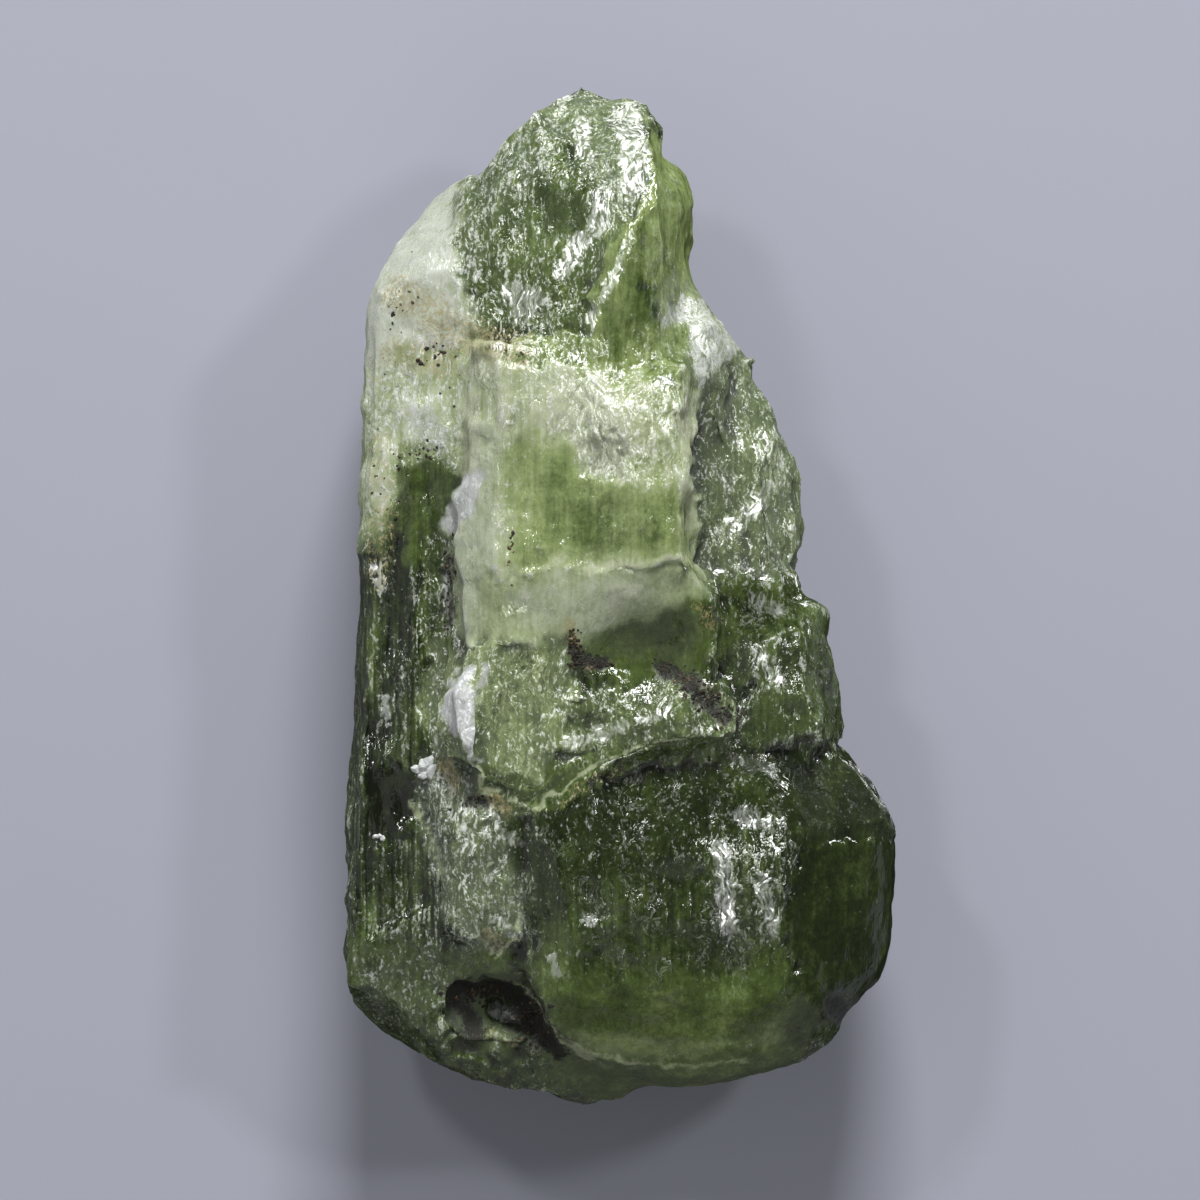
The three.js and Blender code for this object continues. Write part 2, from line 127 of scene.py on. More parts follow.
class Noise:
    """Repeatable gradient noise and leaning facets over points in millimetres."""

    TABLE = 256

    def __init__(self, seed: int) -> None:
        """Draws the tables that every call reads.

        Args:
            seed: the seed of the random tables.
        """
        draw = np.random.RandomState(seed)
        self.order = np.tile(draw.permutation(self.TABLE), 2)
        leans = draw.normal(size=(self.TABLE, 3))
        self.leans = leans / np.linalg.norm(leans, axis=1)[:, None]
        self.jitter = draw.uniform(-0.4, 0.4, (self.TABLE, 3))
        self.level = draw.uniform(-0.35, 0.35, self.TABLE)

    def _key(self, cell: np.ndarray) -> np.ndarray:
        """The table row for each whole-numbered cell."""
        i, j, k = (cell % self.TABLE).T
        return self.order[self.order[self.order[i] + j] + k]

    def gradient(self, p: np.ndarray) -> np.ndarray:
        """Smooth noise with features about one unit wide.

        Args:
            p: the points.

        Returns:
            A value from about -1 to 1 for each point.
        """
        base = np.floor(p).astype(int)
        f = p - base
        fade = f * f * f * (f * (6.0 * f - 15.0) + 10.0)
        total = np.zeros(len(p))
        for corner in product((0, 1), repeat=3):
            lean = self.leans[self._key(base + corner)]
            weight = np.prod(np.where(corner, fade, 1.0 - fade), axis=1)
            total += weight * ((f - corner) * lean).sum(axis=1)
        return 1.7 * total

    def layered(self, p: np.ndarray, layers: int) -> np.ndarray:
        """Gradient noise with finer layers added, each half as wide and half as deep."""
        return sum(0.5**i * self.gradient(p * 2.0**i + 17.3 * i) for i in range(layers))

    def columns(self, p: np.ndarray, layers: int, shifts: Sequence[float]) -> np.ndarray:
        """Layered noise with a column of its own for each shift of the points."""
        return np.stack([self.layered(p + shift, layers) for shift in shifts], axis=1)

    def facets(self, p: np.ndarray, tilt: float, dome: float) -> np.ndarray:
        """The upper hull of leaning facets, one for each cell.

        Args:
            p: the points, in cells.
            tilt: how steeply the facets lean.
            dome: how far each facet falls away from its middle.

        Returns:
            The hull's height at each point.
        """
        base = np.floor(p).astype(int)
        height = np.full(len(p), -np.inf)
        for shift in product((-1, 0, 1), repeat=3):
            cell = base + shift
            key = self._key(cell)
            away = p - (cell + 0.5 + self.jitter[key])
            own = self.level[key] + tilt * (away * self.leans[key]).sum(axis=1) - dome * (away**2).sum(axis=1)
            height = np.maximum(height, own)
        return height


@dataclass(frozen=True)
class Growth:
    """How a patch of the crystal grew and broke.

    tone runs from 0, the darkest clear green, to 1, the palest. milk is whitish frosting in flecks, haze is
    a smooth whitish veil, white is white crust, and sparkle is how many small glints there are, partly
    painted pale. gleam is how much of the patch breaks in facets that all look up the crystal, towards the
    key light, with their colour painted paler as a painted highlight. matt is its least roughness, threads is
    how strongly its fibres show, and melt is how far its edges are rounded off. All of these run from 0 to 1.
    level is how strongly its shading is turned up, from 0 for not at all. grooves and terraces are depths in
    millimetres. scoops and knobs are the shares of the full hackle, sunk or raised.
    """

    tone: float
    milk: float = 0.0
    haze: float = 0.0
    white: float = 0.0
    sparkle: float = 0.3
    gleam: float = 0.0
    matt: float = 0.0
    threads: float = 0.35
    level: float = 0.0
    melt: float = 0.1
    grooves: float = 0.05
    scoops: float = 0.15
    knobs: float = 0.0
    terraces: float = 0.06


@dataclass(frozen=True)
class Zone:
    """A patch of the front with a growth of its own."""

    outline: tuple[Point, ...]
    growth: Growth
    soft: float = 0.35


class Mark(Enum):
    """What a drawn line on the front is."""

    # narrow rims painted paler, a painted glow of light shining through them
    THIN_EDGE = "thin edge"
    GLEAM = "gleam"
    WHITE = "white"
    STAIN = "stain"
    DIRT = "dirt"


@dataclass(frozen=True)
class Trace:
    """A line on the front, in millimetres, with its half width and strength."""

    line: tuple[Point, ...]
    reach: float
    strength: float = 1.0


PLAIN = Growth(tone=0.22, milk=0.22, sparkle=0.3, gleam=0.12, threads=0.9, grooves=0.12, scoops=0.26)

ZONES = (
    # the left prism's pale upper part
    Zone(
        (
            (-11.6, 10.8), (-6.4, 10.6), (-6.6, 6.1), (-7.7, 5.7), (-9.2, 6.1), (-9.6, 4.1), (-10.2, 2.6),
            (-11.6, 2.3),
        ),
        Growth(tone=0.93, milk=0.66, haze=0.16, sparkle=0.4, gleam=0.22, grooves=0.05, scoops=0.32),
        soft=1.6,
    ),
    # the tan crust at the left prism's top
    Zone(
        (
            (-7.1, 18.6), (-5.8, 18.4), (-6.3, 11.4), (-6.9, 10.8), (-9.5, 10.5), (-11.6, 9.1),
            (-11.8, 12.7), (-10.9, 15.2), (-8.6, 17.9),
        ),
        Growth(
            tone=1.0, milk=0.8, haze=0.5, sparkle=0.4, gleam=0.16, grooves=0.04, scoops=0.2, terraces=0.02,
        ),
        soft=0.8,
    ),
    # the clear dark window in the left prism
    Zone(
        ((-9.3, 5.9), (-6.9, 5.5), (-7.4, 3.0), (-7.6, 1.6), (-9.4, 1.2)),
        Growth(tone=0.36, milk=0.04, sparkle=0.12, grooves=0.05, scoops=0.1),
        soft=0.4,
    ),
    # the summit's dark face
    Zone(
        (
            (-6.0, 17.9), (-5.2, 19.2), (-3.4, 20.3), (-1.3, 17.5), (-0.9, 14.4), (-1.9, 11.4),
            (-3.2, 10.8), (-6.4, 11.4), (-6.8, 14.9),
        ),
        Growth(tone=0.46, milk=0.38, sparkle=0.7, gleam=0.28, grooves=0.13, scoops=0.44),
        soft=0.7,
    ),
    # the slanting ridge at the summit's left
    Zone(
        (
            (-7.0, 17.6), (-5.4, 19.6), (-3.4, 21.4), (-2.4, 21.2), (-2.9, 18.6), (-4.0, 17.2),
            (-5.6, 16.2), (-6.0, 13.6), (-7.2, 13.4),
        ),
        Growth(tone=0.5, milk=0.5, haze=0.05, sparkle=0.7, gleam=0.26, grooves=0.06, scoops=0.5),
        soft=0.6,
    ),
    # the summit's silvery right side
    Zone(
        (
            (-4.4, 20.6), (-2.9, 22.2), (-0.9, 22.4), (1.2, 21.6), (1.7, 18.7), (1.4, 17.0), (0.3, 15.3),
            (-0.3, 12.7), (-1.1, 10.1), (-1.8, 11.0), (-1.4, 14.4), (-0.9, 17.0), (-1.9, 19.2),
        ),
        Growth(tone=0.5, milk=0.34, haze=0.04, sparkle=0.6, gleam=0.3, matt=0.28, grooves=0.08, scoops=0.7),
        soft=0.5,
    ),
    # a clear dark spot on the summit
    Zone(
        ((-3.3, 17.6), (-2.2, 17.4), (-1.5, 16.4), (-2.2, 15.6), (-3.4, 15.4)),
        Growth(tone=0.34, milk=0.1, sparkle=0.3, gleam=0.1, grooves=0.1, scoops=0.3),
        soft=0.3,
    ),
    # the clear wedge below the summit
    Zone(
        ((-0.7, 14.9), (1.3, 16.8), (1.1, 13.2), (1.7, 11.4), (0.9, 8.4), (-0.7, 7.9), (-1.5, 9.1)),
        Growth(tone=0.6, milk=0.06, sparkle=0.12, melt=0.5, grooves=0.02, scoops=0.08, terraces=0.03),
    ),
    # the small lobe at the summit's right
    Zone(
        ((1.4, 20.0), (3.6, 18.4), (4.0, 15.3), (3.3, 13.0), (1.5, 12.5), (0.9, 14.0), (1.3, 16.8)),
        Growth(tone=0.68, milk=0.14, sparkle=0.4, melt=0.4, grooves=0.02, scoops=0.4),
    ),
    # the whole pale slab
    Zone(
        (
            (-6.7, 10.8), (3.4, 8.8), (3.3, 1.5), (0.9, 1.2), (-3.4, 0.3), (-5.2, -0.3), (-7.1, -2.1),
            (-7.5, 2.8), (-6.7, 5.4),
        ),
        Growth(tone=0.95, milk=0.5, haze=0.18, sparkle=0.4, gleam=0.18, grooves=0.05, scoops=0.18),
    ),
    # the join between the left prism and the slab
    Zone(
        ((-7.6, 10.2), (-5.6, 10.2), (-5.5, 6.8), (-7.4, 6.6)),
        Growth(tone=0.92, milk=0.56, haze=0.14, sparkle=0.5, gleam=0.2, melt=1.0, grooves=0.04, scoops=0.3),
        soft=0.8,
    ),
    # the slab's left flank
    Zone(
        ((-6.4, 7.4), (-5.1, 7.0), (-5.3, -0.7), (-6.0, -2.0), (-7.3, -2.0), (-7.6, 2.4)),
        Growth(tone=0.9, milk=0.4, haze=0.36, sparkle=0.3, grooves=0.03, scoops=0.16),
    ),
    # the white patch on the slab's left edge
    Zone(
        (
            (-7.3, 4.8), (-6.9, 5.3), (-6.0, 5.3), (-5.9, 4.7), (-6.4, 3.6), (-6.9, 2.8), (-7.5, 3.0),
            (-7.4, 4.1),
        ),
        Growth(tone=0.84, milk=0.4, haze=0.3, white=0.8, sparkle=0.3, gleam=0.2, grooves=0.02, scoops=0.3),
        soft=0.18,
    ),
    # the green window in the slab
    Zone(
        (
            (-5.2, 6.2), (-3.9, 7.1), (-2.9, 6.1), (-1.9, 6.9), (-0.8, 5.3), (0.9, 5.1), (2.9, 4.7),
            (2.8, 1.9), (0.6, 1.7), (-1.6, 1.5), (-3.4, 1.1), (-5.1, 1.3), (-4.6, 3.6),
        ),
        Growth(
            tone=0.77, milk=0.22, haze=0.04, sparkle=0.24, threads=0.3, melt=0.5, grooves=0.05, scoops=0.12,
        ),
        soft=1.5,
    ),
    # the window's darker middle
    Zone(
        (
            (-3.5, 4.9), (-2.6, 5.7), (-1.3, 4.5), (0.2, 4.6), (1.5, 3.9), (2.6, 4.3), (2.6, 1.7),
            (0.4, 1.6), (-1.4, 1.8), (-2.8, 2.4),
        ),
        Growth(
            tone=0.63, milk=0.14, haze=0.02, sparkle=0.2, threads=0.26, melt=0.7, grooves=0.04, scoops=0.08,
        ),
        soft=1.3,
    ),
    # the raised block at the slab's top right
    Zone(
        ((-1.8, 10.2), (3.6, 9.0), (3.3, 5.4), (0.9, 4.9), (-1.8, 5.6)),
        Growth(
            tone=0.9, milk=0.48, haze=0.04, sparkle=0.9, gleam=0.36, level=0.2, melt=0.9, grooves=0.03,
            scoops=0.4,
        ),
        soft=0.6,
    ),
    # the ground around the clear tip
    Zone(
        ((1.7, 13.6), (5.4, 13.2), (5.8, 5.1), (3.5, 5.1), (3.1, 8.4), (1.9, 10.6)),
        Growth(tone=0.62, milk=0.3, haze=0.16, sparkle=0.4, gleam=0.2, melt=0.5, grooves=0.03, scoops=0.3),
    ),
    # the clear tip's pale plate
    Zone(
        (
            (1.8, 12.1), (2.8, 12.9), (3.9, 12.7), (4.7, 11.8), (5.2, 10.4), (5.0, 8.9), (4.3, 8.3),
            (3.4, 8.7), (3.1, 10.0), (2.4, 10.8),
        ),
        Growth(
            tone=0.74, milk=0.7, haze=0.16, white=0.3, sparkle=0.6, gleam=0.2, matt=0.22, melt=0.4,
            scoops=0.4,
        ),
        soft=0.1,
    ),
    # the veined left side of the raised block
    Zone(
        ((-2.5, 9.4), (-0.7, 9.3), (0.3, 7.4), (0.4, 4.9), (-1.5, 5.0), (-2.3, 7.0)),
        Growth(tone=1.02, milk=0.5, haze=0.2, white=0.16, sparkle=0.6, gleam=0.34, melt=1.0, scoops=0.4),
        soft=0.4,
    ),
    # the join above the raised block
    Zone(
        ((0.2, 11.5), (2.7, 11.5), (2.9, 9.3), (0.2, 9.5)),
        Growth(tone=0.64, milk=0.3, sparkle=0.4, gleam=0.2, melt=1.0, grooves=0.03, scoops=0.2),
        soft=0.5,
    ),
    # the join under the summit
    Zone(
        ((-4.9, 11.3), (-0.5, 11.1), (-0.3, 10.0), (-1.6, 9.7), (-4.9, 10.1)),
        Growth(tone=0.66, milk=0.4, sparkle=0.5, gleam=0.3, melt=1.0, grooves=0.03, scoops=0.3),
        soft=0.3,
    ),
    # the upper right shoulder
    Zone(
        ((3.3, 8.6), (5.4, 10.8), (8.8, 7.4), (8.8, -0.2), (3.4, -0.2)),
        Growth(tone=0.48, milk=0.38, haze=0.12, sparkle=0.6, gleam=0.24, grooves=0.05, scoops=0.8),
    ),
    # the low right shoulder
    Zone(
        ((1.3, 0.2), (9.9, 0.3), (10.2, -6.0), (5.2, -6.5), (4.3, -4.1), (3.6, -1.1)),
        Growth(
            tone=0.3, milk=0.24, haze=0.02, sparkle=0.36, gleam=0.16, grooves=0.02, knobs=0.7, scoops=0.2,
        ),
    ),
    # the step between the shoulders
    Zone(
        ((4.0, 0.9), (7.8, 0.9), (7.8, -1.6), (4.4, -1.6)),
        Growth(
            tone=0.32, milk=0.24, sparkle=0.5, gleam=0.1, level=2.4, melt=0.6, grooves=0.02, knobs=0.5,
            scoops=0.2,
        ),
        soft=0.6,
    ),
    # the bowl under the ledge
    Zone(
        (
            (-0.9, -0.4), (3.4, 0.5), (4.5, -1.9), (3.4, -3.7), (0.0, -4.0), (-1.9, -3.0), (-2.5, -2.1),
            (0.9, -1.1),
        ),
        Growth(
            tone=0.44, milk=0.06, sparkle=0.03, threads=0.15, melt=1.0, grooves=0.01, scoops=0.04,
            terraces=0.0,
        ),
        soft=0.9,
    ),
    # the ledge at the slab's foot
    Zone(
        (
            (-6.2, 0.4), (-4.8, 1.0), (0.6, 1.2), (3.4, 1.3), (4.0, 0.4), (0.9, -1.2), (-3.4, -2.4),
            (-6.2, -2.6),
        ),
        Growth(
            tone=0.8, milk=0.24, haze=0.2, sparkle=0.14, melt=1.0, grooves=0.02, scoops=0.08, terraces=0.0,
        ),
        soft=0.5,
    ),
    # the frosted lens in the ledge
    Zone(
        ((-4.8, 0.3), (-2.1, 0.8), (0.9, 0.5), (1.4, -0.2), (-0.9, -1.6), (-3.4, -1.5), (-4.5, -0.7)),
        Growth(
            tone=0.88, milk=0.46, haze=0.34, sparkle=0.1, melt=1.0, grooves=0.01, scoops=0.06, terraces=0.0,
        ),
        soft=0.7,
    ),
    # the dark strip beside the slab
    Zone(
        ((-8.7, 2.8), (-7.3, 2.8), (-7.0, -3.4), (-8.4, -3.2)),
        Growth(tone=0.42, milk=0.4, sparkle=0.6, gleam=0.3, melt=0.4, grooves=0.03, scoops=0.5),
        soft=0.5,
    ),
    # the tongue
    Zone(
        (
            (-8.2, -2.1), (-6.0, -1.9), (-1.9, -1.9), (-1.9, -4.5), (-2.5, -7.9), (-3.4, -9.1),
            (-5.2, -8.6), (-6.1, -8.4), (-6.5, -7.6), (-8.3, -7.1), (-8.5, -4.5),
        ),
        Growth(tone=0.62, milk=0.38, haze=0.1, sparkle=0.6, gleam=0.28, grooves=0.05, scoops=0.5),
    ),
    # the tongue's white vein
    Zone(
        (
            (-7.1, -3.6), (-6.5, -3.3), (-6.1, -4.3), (-6.0, -6.2), (-6.2, -7.6), (-6.8, -7.1),
            (-7.0, -5.7), (-7.7, -5.0), (-7.5, -4.3),
        ),
        Growth(tone=0.84, milk=0.4, haze=0.3, white=0.9, sparkle=0.4, gleam=0.3, grooves=0.02, scoops=0.3),
        soft=0.18,
    ),
    # the shelf
    Zone(
        ((-1.9, -4.0), (5.7, -4.0), (5.1, -6.5), (1.3, -7.4), (-0.9, -7.7), (-2.5, -8.6), (-2.6, -6.6)),
        Growth(tone=0.5, milk=0.32, haze=0.04, sparkle=0.7, gleam=0.32, grooves=0.02, scoops=0.68),
    ),
    # the middle band
    Zone(
        (
            (-9.2, -7.4), (-6.4, -7.9), (-3.9, -9.0), (-4.0, -13.9), (-5.2, -15.8), (-6.4, -15.3),
            (-7.9, -13.1),
        ),
        Growth(tone=0.42, milk=0.5, haze=0.1, sparkle=0.8, gleam=0.16, grooves=0.05, scoops=0.5),
    ),
    # the scoop at the back of the shelf
    Zone(
        ((-2.2, -3.8), (3.0, -3.8), (3.4, -5.4), (0.4, -6.0), (-2.2, -5.0)),
        Growth(tone=0.5, milk=0.34, haze=0.04, sparkle=0.7, gleam=0.2, melt=1.0, grooves=0.02, scoops=0.3),
        soft=0.6,
    ),
    # the whole lobe
    Zone(
        (
            (-4.0, -9.6), (12.6, -9.6), (12.6, -18.6), (8.2, -19.4), (0.2, -20.2), (-3.4, -18.4),
            (-3.8, -15.6),
        ),
        Growth(tone=0.26, milk=0.2, sparkle=0.35, gleam=0.12, threads=0.3, grooves=0.06, scoops=0.4),
    ),
    # the lobe's top
    Zone(
        (
            (-4.7, -9.4), (-0.9, -7.8), (5.6, -6.5), (10.4, -7.3), (12.4, -10.7), (7.7, -10.3),
            (3.4, -10.9), (-0.9, -12.2), (-4.5, -12.2),
        ),
        Growth(
            tone=0.19, milk=0.26, sparkle=0.5, gleam=0.14, threads=0.12, level=1.0, grooves=0.03,
            scoops=0.4,
        ),
        soft=0.9,
    ),
    # the lobe's top right corner
    Zone(
        ((7.0, -6.6), (10.6, -7.0), (12.6, -10.8), (7.6, -10.4)),
        Growth(
            tone=0.19, milk=0.16, sparkle=0.24, gleam=0.1, matt=0.26, threads=0.12, level=3.0, scoops=0.3,
        ),
        soft=0.6,
    ),
    # the rim of the tongue and the shelf
    Zone(
        (
            (-6.3, -7.3), (-3.4, -7.9), (-2.6, -7.2), (-0.6, -6.8), (1.4, -6.3), (4.2, -6.0), (4.4, -6.9),
            (1.4, -7.3), (-0.9, -7.8), (-2.6, -8.9), (-3.6, -9.3), (-6.2, -8.6),
        ),
        Growth(tone=0.46, milk=0.3, sparkle=0.4, gleam=0.2, melt=1.0, grooves=0.03, scoops=0.3),
        soft=0.3,
    ),
    # the lobe's silvery facets
    Zone(
        ((3.4, -9.8), (7.3, -9.4), (7.7, -12.2), (6.9, -15.0), (4.1, -15.0), (3.4, -12.2)),
        Growth(tone=0.24, milk=0.14, sparkle=0.5, gleam=0.3, threads=0.25, grooves=0.12, scoops=0.5),
        soft=0.8,
    ),
    # the lobe's smooth clear face
    Zone(
        ((7.7, -10.5), (12.5, -10.5), (12.5, -15.7), (10.4, -18.3), (7.3, -18.6)),
        Growth(
            tone=0.2, milk=0.02, sparkle=0.03, threads=0.12, melt=0.8, grooves=0.01, scoops=0.03,
            terraces=0.0,
        ),
        soft=0.3,
    ),
    # the lobe's foot, painted lighter as a painted glow of light shining through it
    Zone(
        (
            (-3.6, -16.2), (1.0, -16.6), (6.8, -16.2), (8.2, -18.4), (5.0, -19.6), (0.0, -20.2),
            (-2.8, -18.8),
        ),
        Growth(
            tone=0.48, milk=0.04, sparkle=0.16, threads=0.12, level=3.6, melt=1.0, grooves=0.01,
            scoops=0.06, terraces=0.0,
        ),
        soft=2.2,
    ),
    # the pale band along the lobe's lower rim, painted lighter as part of the same painted glow
    Zone(
        (
            (-2.6, -18.3), (0.4, -18.9), (4.0, -18.9), (7.0, -18.4), (6.6, -19.6), (3.4, -20.1),
            (0.4, -20.0), (-1.6, -19.5),
        ),
        Growth(
            tone=0.64, milk=0.24, haze=0.06, sparkle=0.2, threads=0.12, level=3.6, melt=1.0, grooves=0.01,
            scoops=0.1, terraces=0.0,
        ),
        soft=0.8,
    ),
    # the foot
    Zone(
        (
            (-12.6, -14.6), (-7.7, -15.2), (-4.3, -15.7), (-3.4, -17.4), (-2.6, -19.5), (0.2, -22.8),
            (-6.4, -22.6), (-12.6, -18.8),
        ),
        Growth(
            tone=0.3, milk=0.22, sparkle=0.25, gleam=0.12, threads=0.5, level=0.5, grooves=0.02,
            scoops=0.28,
        ),
    ),
    # the frosted ground beside the pit
    Zone(
        ((-11.2, -15.0), (-8.4, -15.2), (-6.8, -16.4), (-7.2, -18.0), (-9.6, -18.8), (-11.6, -17.4)),
        Growth(tone=0.35, milk=0.4, haze=0.04, sparkle=0.2, gleam=0.1, threads=0.3, level=0.8, scoops=0.24),
        soft=1.4,
    ),
    # the slope above the pit
    Zone(
        ((-7.4, -15.2), (-4.4, -15.5), (-3.8, -16.6), (-6.4, -16.7)),
        Growth(
            tone=0.38, milk=0.14, sparkle=0.2, threads=0.2, level=0.8, melt=0.6, grooves=0.02, scoops=0.2,
        ),
        soft=0.8,
    ),
    # the pit
    Zone(
        ((-7.3, -16.7), (-4.2, -16.7), (-2.5, -19.3), (-3.6, -19.8), (-6.8, -18.7)),
        Growth(tone=0.22, milk=0.22, sparkle=0.3, matt=0.4, threads=0.1, melt=0.0, scoops=0.8),
    ),
    # the pit's paler slope
    Zone(
        (
            (-7.6, -17.6), (-6.2, -17.4), (-5.4, -17.9), (-4.4, -18.5), (-3.9, -19.6), (-5.0, -20.4),
            (-7.6, -19.4),
        ),
        Growth(tone=0.29, milk=0.22, haze=0.02, sparkle=0.3, matt=0.66, threads=0.1, melt=1.0, scoops=1.0),
        soft=0.5,
    ),
    # the dark pit in the left prism
    Zone(
        ((-10.8, -7.4), (-8.9, -7.3), (-8.9, -10.3), (-10.6, -10.4)),
        Growth(tone=0.04, milk=0.0, sparkle=0.04, melt=0.5, grooves=0.02, scoops=0.06),
        soft=0.3,
    ),
    # the clear strip under the lobe
    Zone(
        ((-3.2, -19.2), (0.9, -20.2), (7.7, -19.1), (7.9, -21.4), (3.4, -22.4), (-2.1, -21.6)),
        Growth(
            tone=0.5, milk=0.06, sparkle=0.04, threads=0.08, level=3.0, melt=0.8, grooves=0.0, scoops=0.04,
            terraces=0.0,
        ),
        soft=0.5,
    ),
)

